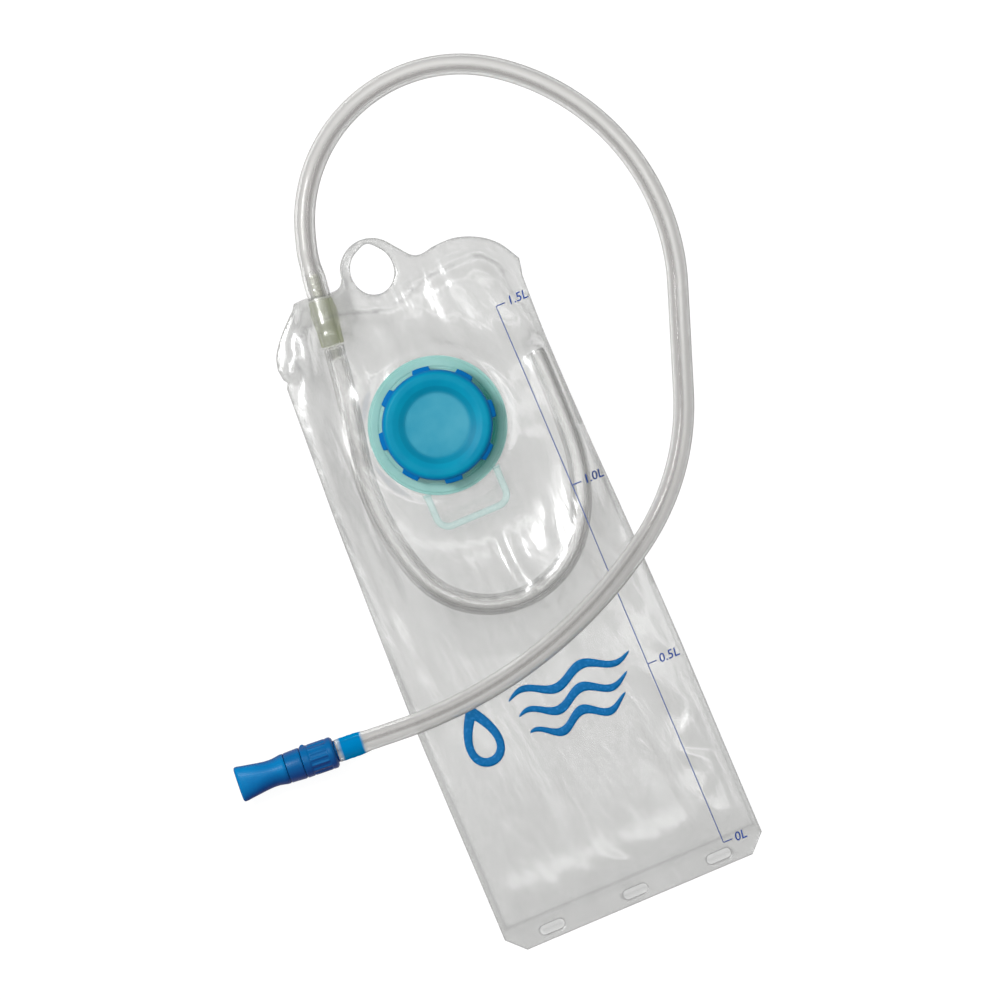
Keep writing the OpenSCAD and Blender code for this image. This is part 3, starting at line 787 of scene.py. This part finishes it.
collar_outside = soften([
    (0.05, 4.6), (0.05, COLLAR_R - 1.2), (1.2, COLLAR_R), (3.2, COLLAR_R), (3.9, COLLAR_R - 0.45),
    (13.4, COLLAR_R - 0.45), (14.1, COLLAR_R), (17.3, COLLAR_R), (17.7, COLLAR_R - 0.4), (17.7, 6.45)], 0.5)
collar_profile = []
for p, q in zip(collar_outside, collar_outside[1:]):
    steps = max(1, round(abs(q[0] - p[0]) / 0.5))
    collar_profile += [p + (q - p) * i / steps for i in range(steps)]
collar = loft("valve_collar_body", on_valve,
              [*collar_profile, collar_outside[-1], (17.5, 6.4), (4.7, 6.4), (4.6, 6.3), (4.6, 4.6),
               (4.5, 4.55), (0.2, 4.55)], 192, ribs, ring=True)
spout_profile = soften([
    (6, 4.6), (6, 6.3), (8.2, 6.3), (8.2, 5.15), (9.8, 5.15), (9.8, 6.3), (17.9, 6.3), (17.9, 8.1),
    (18.6, 8.35), (26.4, 8.0), (26.4, 5.6), (33.6, 5.6), (33.6, 6.1), (35, 6.1), (36, 5.2), (36, 4.1)], 0.3)
spout = loft("valve_spout_body", on_valve,
             [*spout_profile, (35.8, 4.0), (32, 4.0), (32, 2.45), (28, 2.45), (28, 4.53), (6.2, 4.53)], 96,
             ring=True)


def bite():
    """The soft mouthpiece: a round waist that flares into a flat oval with a slit, hollow inside."""
    tip, width, thick = 53.2, 9.35, 4.9
    outside = [
        (26.6, 7.6, 7.6, 2), (27, 8, 8, 2), (28.5, 8, 8, 2), (30.5, 7.6, 7.6, 2),
        (32.5, 7.25, 7.2, 2), (34.5, 7.15, 7, 2.05), (37, 7.25, 6.8, 2.1), (40, 7.6, 6.55, 2.2),
        (43, 8.05, 6.25, 2.3), (46, 8.5, 5.9, 2.4), (49, 8.95, 5.45, 2.5), (51.2, width, 5.1, 2.5),
        (52.3, width, thick, 2.5), (52.9, width - 0.35, thick - 0.5, 2.5),
        (tip, width - 1.1, thick - 1.4, 2.5)]
    slit = [(tip, 6.6, 1.5, 2.2), (tip - 0.3, 5.7, 0.5, 2.2), (tip - 2.6, 5.3, 0.25, 2.2)]
    hollow = [
        (tip - 3.4, 6.6, 1.8, 2.2), (45, 6.4, 3.2, 2.1), (40, 5.9, 4.6, 2), (36.6, 5.6, 5.2, 2),
        (36.5, 6.15, 6.15, 2), (33.4, 6.15, 6.15, 2), (33.3, 5.65, 5.65, 2), (26.8, 5.65, 5.65, 2)]
    return loft("mouthpiece_bite", on_valve, outside + slit + hollow, 96, ring=True)


mouth = bite()


# ---------- prints on the film ----------

PRINT_LIFT, PRINT_T = 0.16, 0.05
SCALE_X = 52.0
SCALE_LOW_Y = BOTTOM_Y + 11.5
SCALE_STEP = 100.9
NUMBER_SIZE = 6.6
EMBLEM_X, EMBLEM_Y = -8.3, -245.4


def print_top(x, y):
    return film_top(x, y) + PRINT_LIFT


def printed(name, *loops):
    return sheet(name, loops, 1.5, print_top, PRINT_T)


def bar(name, x0, y0, x1, y1):
    return printed(name, unique(line((x0, y0), (x1, y0), (x1, y1), (x0, y1), (x0, y0), spacing=1)))


def label(name, text, x, y):
    """Scale numbers, laid on the film."""
    curve = bpy.data.curves.new(name, "FONT")
    curve.body = text
    curve.size = NUMBER_SIZE * MM
    curve.shear = 0.15
    curve.offset = 0.00003
    curve.extrude = PRINT_T * MM / 2
    curve.resolution_u = 3
    typed = put(name, curve)
    bpy.context.view_layer.update()
    mesh = bpy.data.meshes.new_from_object(typed)
    bpy.data.objects.remove(typed)
    co = np.empty(len(mesh.vertices) * 3)
    mesh.vertices.foreach_get("co", co)
    co = co.reshape(-1, 3)
    co[:, 0] += x * MM
    co[:, 1] += y * MM
    co[:, 2] += (film_top(co[:, 0] / MM, co[:, 1] / MM) + PRINT_LIFT) * MM
    mesh.vertices.foreach_set("co", co.ravel())
    mesh.name = name
    mesh.materials.clear()
    mesh.update()
    return link(name, mesh, False)


ink_pieces = [bar("scale_line", SCALE_X - 0.2, SCALE_LOW_Y, SCALE_X + 0.2, SCALE_LOW_Y + 3 * SCALE_STEP)]
for i, text in enumerate(("0L", "0.5L", "1.0L", "1.5L")):
    y = SCALE_LOW_Y + i * SCALE_STEP
    ink_pieces.append(bar(f"scale_tick_{i}", SCALE_X + 0.25, y - 0.25, SCALE_X + 5.0, y + 0.25))
    ink_pieces.append(label(f"scale_number_{i}", text, SCALE_X + 6.2, y - 2.0))


def wave(y_mid, x0, x1, phase):
    """A tapering wave band."""
    n, crests, amplitude, half = 90, 2.0, 3.2, 2.6
    upper, lower = [], []
    for i in range(n + 1):
        t = i / n
        x = x0 + (x1 - x0) * t
        y = y_mid + amplitude * sin(TAU * crests * t + phase)
        w = half * sin(pi * t) ** 0.5 + 0.05
        upper.append((x, y + w))
        lower.append((x, y - w))
    return unique(upper + lower[::-1])


def droplet(cx, cy, r):
    """A water drop: a round base and a point on top."""
    right = [(cx + r * sin(pi * t) * sin(pi * t / 2), cy + r * 1.35 * cos(pi * t))
             for t in np.linspace(0, 1, 40)]
    return unique(right + [(2 * cx - x, y) for x, y in reversed(right[1:-1])])


emblem = [printed("emblem_drop", droplet(EMBLEM_X - 34, EMBLEM_Y + 1, 13),
                  droplet(EMBLEM_X - 34, EMBLEM_Y - 1.5, 7.6))]
for i in range(3):
    band = wave(EMBLEM_Y + 11 - 11 * i, EMBLEM_X - 14 + 2 * i, EMBLEM_X + 54 - 5 * i, 0.5 * i)
    emblem.append(printed(f"emblem_wave_{i}", band))


# ---------- materials ----------

class Shader:
    """A material's or a world's nodes, built with short calls."""

    def __init__(self, owner):
        owner.use_nodes = True
        self.owner, self.tree = owner, owner.node_tree
        self.tree.nodes.clear()
        kind = "Material" if isinstance(owner, bpy.types.Material) else "World"
        self.out = self.tree.nodes.new("ShaderNodeOutput" + kind)

    def node(self, kind, output=0, settings=None, **inputs):
        """Adds a node and returns one output. An input is given by name, or by number as i0, i1 and so on."""
        n = self.tree.nodes.new("ShaderNode" + kind)
        for key, value in (settings or {}).items():
            setattr(n, key, value)
        for key, value in inputs.items():
            numbered = key[0] == "i" and key[1:].isdigit()
            socket = n.inputs[int(key[1:])] if numbered else n.inputs[key.replace("_", " ")]
            if isinstance(value, bpy.types.NodeSocket):
                self.tree.links.new(value, socket)
            else:
                socket.default_value = value
        return n.outputs[output]

    def math(self, operation, a, b=0.0):
        return self.node("Math", settings={"operation": operation}, i0=a, i1=b)

    def mix(self, fac, a, b):
        return self.node("MixShader", i0=fac, i1=a, i2=b)

    def tint(self, fac, a, b, how="MIX"):
        """Mixes two colours."""
        return self.node("Mix", 2, {"data_type": "RGBA", "blend_type": how}, i0=fac, i6=a, i7=b)

    def span(self, value, low, high, at_low, at_high, how="LINEAR"):
        """Carries the range from low to high over to at_low to at_high."""
        return self.node("MapRange", 0, {"interpolation_type": how}, Value=value, From_Min=low, From_Max=high,
                         To_Min=at_low, To_Max=at_high)

    def ramp(self, value, stops):
        """A colour ramp. A stop's colour may be a single grey."""
        n = self.tree.nodes.new("ShaderNodeValToRGB")
        self.tree.links.new(value, n.inputs[0])
        while len(n.color_ramp.elements) < len(stops):
            n.color_ramp.elements.new(0.5)
        for element, (at, colour) in zip(n.color_ramp.elements, stops):
            element.position = at
            element.color = (colour, colour, colour, 1) if isinstance(colour, (int, float)) else colour
        return n.outputs[0]

    def place(self):
        """The point's place in the row's frame."""
        return self.node("TexCoord", 3)

    def axis(self, i, vector):
        return self.node("SeparateXYZ", i, Vector=vector)

    def attribute(self, name, output=2):
        return self.node("Attribute", output, {"attribute_name": name})

    def light_path(self, kind):
        return self.node("LightPath", f"Is {kind} Ray")

    def facing(self):
        """0 where the surface faces the eye, 1 at its rim."""
        return self.node("LayerWeight", 1, Blend=0.5)

    def filler_radius(self, x, y):
        """Distance from the filler's axis, with y counted from it."""
        return self.math("SQRT", self.math("ADD", self.math("POWER", x, 2.0), self.math("POWER", y, 2.0)))

    def noise(self, scale, detail=3.0, rough=0.5, stretch=(1, 1, 1), distortion=0.0):
        """Noise in the row's frame: scale is in features per metre."""
        moved = self.node("Mapping", Vector=self.place(), Scale=stretch)
        return self.node("TexNoise", Vector=moved, Scale=scale, Detail=detail, Roughness=rough,
                         Distortion=distortion)

    def bump(self, height, strength, depth):
        return self.node("Bump", Strength=strength, Distance=depth, Height=height)

    def finish(self, surface):
        self.tree.links.new(surface, self.out.inputs[0])
        return self.owner


def new_shader(name):
    return Shader(bpy.data.materials.new(name))


def film_material(name, haze, seed):
    """Clear soft film: it dims what is behind it a little, and it shines."""
    tint, long_ways = (0.872, 0.872, 0.869), (1, 0.22, 1)
    m = new_shader(name)
    fine = m.noise(240, 4, 0.6, long_ways, 0.6)
    broad = m.noise(40 + seed, 3, 0.5, long_ways, 1.2)
    normal = m.bump(m.math("ADD", broad, m.math("MULTIPLY", fine, 0.16)), 0.6, 0.0022)
    mark = m.attribute("mark")
    # marks darken the film: weld lines and slot outlines, and the painted shade along the tab's curl
    shade = [tuple(c * k for c in tint) + (1,) for k in (1.0, 0.985, 0.84)]
    clear = m.node("BsdfTransparent", Color=m.ramp(mark, list(zip((0.0, 0.4, 1.0), shade))))
    milky = m.node("BsdfDiffuse", Color=srgb(238, 239, 238))
    cloud = m.span(broad, 0.35, 0.7, 0.35 * haze, haze)
    body = m.mix(m.math("ADD", cloud, m.math("MULTIPLY", mark, 0.04)), clear, milky)
    gloss = m.node("BsdfGlossy", Color=(1, 1, 1, 1), Roughness=0.25, Normal=normal)
    fresnel = m.node("Fresnel", IOR=1.52, Normal=normal)
    return m.finish(m.mix(m.math("MINIMUM", m.math("MULTIPLY", fresnel, 1.4), 0.35), body, gloss))


def tube_material(name, light, dark, shade, milk):
    """Clear soft tube: faint die lines run along it, a soft dark band of painted shade lies towards its
    right-hand side, and painted shade darkens its rim. light, dark and shade are greys."""
    m = new_shader(name)
    lay = m.attribute("lay", 1)
    lines = m.node("TexNoise", Vector=lay, Scale=1.9, Detail=0.0)
    wander = m.node("TexNoise", Vector=lay, Scale=0.9, Detail=0.0)
    drift = m.math("MULTIPLY", m.math("SUBTRACT", wander, 0.5), 0.9)
    off = m.math("ABSOLUTE", m.math("SUBTRACT", m.axis(0, lay), m.math("ADD", drift, 0.22)))
    # painted shade: a dark band on the upper half of the wall, standing in for the shade a curved clear wall
    # shows
    band = m.math("MULTIPLY", m.span(off, 0.05, 0.42, 1.0, 0.0), m.math("GREATER_THAN", m.axis(1, lay), 0.0))
    facing = m.facing()
    # painted shade: darker towards the rim, where the wall turns from the eye
    rim = m.ramp(facing, [(0.16, 1.0), (0.46, 0.74), (0.72, (0.40, 0.40, 0.39, 1))])
    grip = m.attribute("grip")
    through = m.ramp(lines, [(0.34, dark), (0.50, light), (0.66, (0.95, 0.95, 0.945, 1))])
    through = m.tint(1.0, m.tint(band, through, shade), rim, "MULTIPLY")
    through = m.tint(grip, through, (0.03, 0.50, 0.76, 1))
    glass = m.node("BsdfPrincipled", Base_Color=through, Specular_Tint=through, Roughness=0.11, IOR=1.42,
                   Normal=m.bump(lines, 0.12, 0.0012), Transmission_Weight=1.0)
    # the milky wall colour carries the same painted band and rim shade
    wall = m.tint(0.6, m.tint(band, srgb(212, 211, 209), srgb(156, 153, 152)), rim, "MULTIPLY")
    milky = m.node("BsdfDiffuse", Color=m.tint(grip, wall, srgb(0, 122, 178)))
    haze = m.math("ADD", m.math("MULTIPLY", grip, 0.40), m.span(facing, 0.16, 0.55, milk, milk + 0.52))
    # shadow and diffuse rays pass, so that the tube lets light through
    clear = m.node("BsdfTransparent", Color=(0.94, 0.94, 0.935, 1))
    passing = m.math("MAXIMUM", m.light_path("Shadow"), m.light_path("Diffuse"))
    return m.finish(m.mix(passing, m.mix(haze, glass, milky), clear))


def moulded_material(name, colour, deep, roughness, grain=900, clear=0.0, glow=0.0, shine=0.35, painted_shade_tint=None,
                     side=(0.92, -0.39), painted_cap_shadow=None):
    """Moulded plastic: fine grain, cloudy colour, some translucency. The shade tint paints shade on the rim
    and on the side that faces along side, and the shadow tint paints the cap's shadow on the flange close to
    the cap on that side."""
    m = new_shader(name)
    tone = m.ramp(m.noise(34, 4, 0.6), [(0.3, srgb(*deep)), (0.7, srgb(*colour))])
    if painted_shade_tint:
        # painted shade: the rim and the side that faces along side take the shade tint
        normal = m.node("NewGeometry", 1)
        lean = m.node("VectorMath", 1, {"operation": "DOT_PRODUCT"}, i0=normal, i1=(*side, 0))
        turn = m.math("MAXIMUM", m.span(lean, -0.15, 0.8, 0.0, 1.0), m.span(m.facing(), 0.25, 0.75, 0.0, 0.8))
        tone = m.tint(turn, tone, srgb(*painted_shade_tint))
    if painted_cap_shadow:
        # painted shadow: the cap's shadow on the flange, close to the cap on that side
        at = m.place()
        x, y = m.axis(0, at), m.math("SUBTRACT", m.axis(1, at), FILLER_Y * MM)
        lean = m.math("ADD", m.math("MULTIPLY", x, side[0]), m.math("MULTIPLY", y, side[1]))
        near = m.span(m.filler_radius(x, y), 0.0295, 0.0355, 1.0, 0.0)
        shade = m.math("MULTIPLY", near, m.span(lean, 0.004, 0.026, 0.0, 0.95))
        tone = m.tint(shade, tone, srgb(*painted_cap_shadow))
    rough = m.math("ADD", m.math("MULTIPLY", m.noise(120), 0.14), roughness - 0.07)
    surface = m.node("BsdfPrincipled", Base_Color=tone, Roughness=rough, IOR=1.46,
                     Normal=m.bump(m.noise(grain, 3, 0.6), 0.10, 0.0004), Specular_IOR_Level=shine,
                     Coat_Weight=0.2 * shine, Coat_Roughness=0.15)
    if glow:
        surface = m.mix(glow, surface, m.node("BsdfTranslucent", Color=tone))
    if clear:
        see = m.node("BsdfTransparent", Color=m.node("Gamma", Color=tone, Gamma=0.3))
        surface = m.mix(clear, surface, see)
    return m.finish(surface)


def cap_material():
    """Blue cap: a paler frosted dish in the middle; painted shade darkens the sloping ring round the dish,
    the grip and the foot of the wall.
    """
    m = new_shader("cap_blue")
    at = m.place()
    r = m.filler_radius(m.axis(0, at), m.math("SUBTRACT", m.axis(1, at), FILLER_Y * MM))
    soft = "SMOOTHSTEP"
    dish = m.span(r, 0.0150, 0.0182, 1.0, 0.0, soft)
    # painted shade: the sloping ring inside the step is darker than the flat ring outside it
    step = m.span(r, 0.0196, 0.0206, 0.0, 1.0, soft)
    # painted shade: the side wall with its grip lugs is darker
    wall = m.span(r, 0.0262, 0.0290, 0.0, 1.0, soft)
    # painted shade: darker towards the foot of the wall
    low = m.span(m.axis(2, at), CAP_Z * MM, (CAP_Z + 8) * MM, 0.5, 0.0, soft)
    cloud = m.noise(60, 4, 0.6)
    inner = m.ramp(cloud, [(0.3, srgb(0, 124, 158)), (0.7, srgb(0, 136, 168))])
    outer = m.ramp(cloud, [(0.3, srgb(0, 136, 172)), (0.7, srgb(0, 148, 180))])
    frosted = m.ramp(m.noise(40), [(0.3, srgb(40, 146, 176)), (0.7, srgb(76, 166, 190))])
    # the cap's tone with its painted shade
    edge = m.tint(low, m.tint(wall, m.tint(step, inner, outer), srgb(0, 108, 178)), srgb(0, 70, 130))
    tone = m.tint(dish, edge, frosted)
    normal = m.bump(m.noise(1500, 3, 0.7), m.math("ADD", m.math("MULTIPLY", dish, 0.25), 0.06), 0.0004)
    rough = m.math("ADD", m.math("MULTIPLY", dish, 0.15), 0.38)
    body = m.node("BsdfPrincipled", Base_Color=tone, Roughness=rough, IOR=1.46, Normal=normal,
                  Specular_IOR_Level=0.10)
    return m.finish(m.mix(0.15, body, m.node("BsdfTranslucent", Color=tone)))


def ink_material(name, colour):
    m = new_shader(name)
    wear = m.noise(700, 3, 0.7)
    worn = tuple(min(1, c * 1.5 + 0.02) for c in colour[:3]) + (1,)
    tone = m.ramp(wear, [(0.25, worn), (0.5, colour)])
    return m.finish(m.node("BsdfPrincipled", Base_Color=tone, Roughness=0.5, IOR=1.45,
                           Normal=m.bump(wear, 0.1, 0.0002), Specular_IOR_Level=0.15))


def dress(piece, material):
    piece.data.materials.clear()
    piece.data.materials.append(material)


def paint(pieces, material, node=None, body="reservoir"):
    for piece in pieces:
        dress(piece, material)
        if body:
            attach(piece, body)
        if node:
            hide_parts(node)


FILM_FRONT = film_material("film_front", 0.11, 0)
FILM_BACK = film_material("film_back", 0.10, 7)
TUBE = tube_material(
    "clear_tube", (0.80, 0.80, 0.795, 1), (0.60, 0.60, 0.59, 1), (0.50, 0.495, 0.49, 1), 0.36)
DIP_TUBE = tube_material(
    "clear_dip_tube", (0.90, 0.90, 0.895, 1), (0.74, 0.74, 0.73, 1), (0.66, 0.655, 0.65, 1), 0.14)
# painted shade: the sleeve's right-hand side and its rim turn yellow-green
PORT_SOFT = moulded_material(
    "port_yellow", (244, 245, 240), (230, 232, 220), 0.22, 500, clear=0.62, glow=0.55, shine=0.6,
    painted_shade_tint=(180, 190, 104))
CLEAR_HARD = moulded_material(
    "connector_clear", (246, 247, 240), (230, 232, 220), 0.12, 500, clear=0.55, glow=0.2, shine=0.7)
# the flange carries a painted shadow of the cap on its right-hand side
AQUA = moulded_material(
    "flange_aqua", (184, 228, 223), (162, 214, 208), 0.25, 700, clear=0.38, glow=0.30,
    painted_cap_shadow=(16, 168, 152))
# the shade tint gives the loop a faint even tint, and painted shade on its rim draws its outlines
PALE_AQUA = moulded_material(
    "loop_aqua", (238, 250, 248), (222, 242, 238), 0.2, 700, clear=0.76, glow=0.3, shine=0.6,
    painted_shade_tint=(140, 202, 198), side=(0, 0))
CAP = cap_material()
WHITE_RUBBER = moulded_material("gasket_white", (232, 232, 226), (214, 214, 206), 0.5)
# painted shade: the valve's rim and the side that faces along side turn dark blue
VALVE_BLUE = moulded_material(
    "valve_blue", (0, 106, 166), (0, 92, 152), 0.34, glow=0.12, shine=0.12, painted_shade_tint=(24, 52, 120),
    side=(0.20, -0.98))
# painted shade: the mouthpiece's rim and the side that faces along side turn dark blue
BITE_BLUE = moulded_material(
    "bite_blue", (0, 142, 206), (0, 118, 186), 0.40, 1200, clear=0.05, glow=0.25, shine=0.12,
    painted_shade_tint=(14, 56, 128), side=(0.20, -0.98))
NITRILE = moulded_material("nitrile_black", (30, 30, 32), (20, 20, 22), 0.5)
INK_DARK = ink_material("ink_dark", srgb(14, 60, 140))
INK_BLUE = ink_material("ink_blue", srgb(0, 98, 156))

paint([front_film], FILM_FRONT, "front_film")
paint([back_film], FILM_BACK, "back_film")
paint([hose], TUBE, "drink_hose", None)
paint([dip], DIP_TUBE, "dip_tube")
paint([sleeve], PORT_SOFT, "port_sleeve")
paint([connector], CLEAR_HARD, "barb_connector")
paint([flange, neck_thread], AQUA, "filler_flange")
paint([cap, cap_thread], CAP, "screw_cap", "cap")
paint([gasket], WHITE_RUBBER, "cap_gasket", "cap_seal")
paint(loop_knuckles, PALE_AQUA, "finger_loop", "loop")
paint([loop], PALE_AQUA, "finger_loop", None)
paint([stem, pin], VALVE_BLUE, "valve_stem", "bite_valve")
paint([collar], VALVE_BLUE, "valve_collar", "bite_valve")
paint([spout], VALVE_BLUE, "valve_spout", "mouth")
paint([mouth], BITE_BLUE, "mouthpiece", "mouth")
paint(ink_pieces, INK_DARK)
paint(emblem, INK_BLUE)
for name in ("stem_oring", "spout_oring"):
    dress(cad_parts[name], NITRILE)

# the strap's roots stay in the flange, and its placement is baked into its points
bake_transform(loop)
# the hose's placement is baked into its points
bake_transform(hose)


# ---------- floor, light and camera ----------

ROLL = radians(-23)
VIEW_CENTRE = Vector((14.6, -136.2, 0)) * MM
VIEW_SPAN = 520 * MM
CAMERA_H = 2.6


def floor():
    """A lit white table. Clear parts refract its darker surroundings."""
    m = new_shader("floor_white")
    far = m.node("VectorMath", 1, {"operation": "DISTANCE"}, i0=m.place(), i1=tuple(VIEW_CENTRE))
    pool = m.span(far, 0.30, 0.75, 0.95, 0.22)
    seen = m.math("MAXIMUM", m.light_path("Camera"), m.light_path("Diffuse"))
    lit = m.node("Mix", 0, {"data_type": "FLOAT"}, i0=seen, i2=pool, i3=0.93)
    glow = m.node("Emission", Color=(1, 1, 1, 1), Strength=lit)
    matt = m.node("BsdfDiffuse", Color=(0.13, 0.13, 0.13, 1))
    half, z = 6000, film_low[2] - 0.05
    corners = [(-half, -half, z), (half, -half, z), (half, half, z), (-half, half, z)]
    piece = mesh_piece("studio_floor", corners, [(0, 1, 2, 3)], False)
    piece.data.materials.append(m.finish(m.node("AddShader", i0=glow, i1=matt)))


def sky():
    """White to the camera; to everything else a studio with a dark rim and a dark top behind the camera."""
    scene.world = bpy.data.worlds.new("studio")
    m = Shader(scene.world)
    height = m.axis(2, m.node("TexCoord", 0))
    room = m.ramp(height, [(0.0, 0.12), (0.25, 0.20), (0.5, 0.50), (0.86, 0.60), (0.97, 0.35)])
    wide = m.tint(m.light_path("Diffuse"), room, (0.33, 0.33, 0.33, 1))
    seen = m.tint(m.light_path("Camera"), wide, (1, 1, 1, 1))
    m.finish(m.node("Background", Color=seen, Strength=1.0))


def in_view(right, up, height):
    """A place given by its offsets in the picture, in metres, and its height."""
    c, s = cos(ROLL), sin(ROLL)
    return (VIEW_CENTRE.x + right * c - up * s, VIEW_CENTRE.y + right * s + up * c, height)


def area_light(name, at, size, power):
    """A rectangular light that points at the middle of the view."""
    data = bpy.data.lights.new(name, "AREA")
    data.shape = "RECTANGLE"
    data.size, data.size_y = size
    data.energy = power
    lamp = put(name, data)
    lamp.location = at
    lamp.rotation_euler = (VIEW_CENTRE - Vector(at)).to_track_quat("-Z", "Y").to_euler()


def studio():
    floor()
    sky()
    area_light("key", in_view(-0.66, 0.26, 1.05), (0.30, 0.30), 11)
    area_light("strip_left", in_view(-0.45, -0.05, 1.5), (0.22, 1.1), 2.6)
    area_light("strip_right", in_view(0.50, 0.10, 1.5), (0.22, 1.1), 2.4)
    area_light("strip_top", in_view(0.05, 0.60, 1.5), (1.0, 0.22), 2.0)
    data = bpy.data.cameras.new("camera")
    data.angle = 2 * atan(VIEW_SPAN / 2 / CAMERA_H)
    data.clip_end = 20
    camera = put("camera", data)
    camera.location = (VIEW_CENTRE.x, VIEW_CENTRE.y, CAMERA_H)
    camera.rotation_euler = (0, 0, ROLL)
    scene.camera = camera
    scene.view_settings.view_transform = "Standard"
    scene.cycles.transparent_max_bounces = 40


studio()
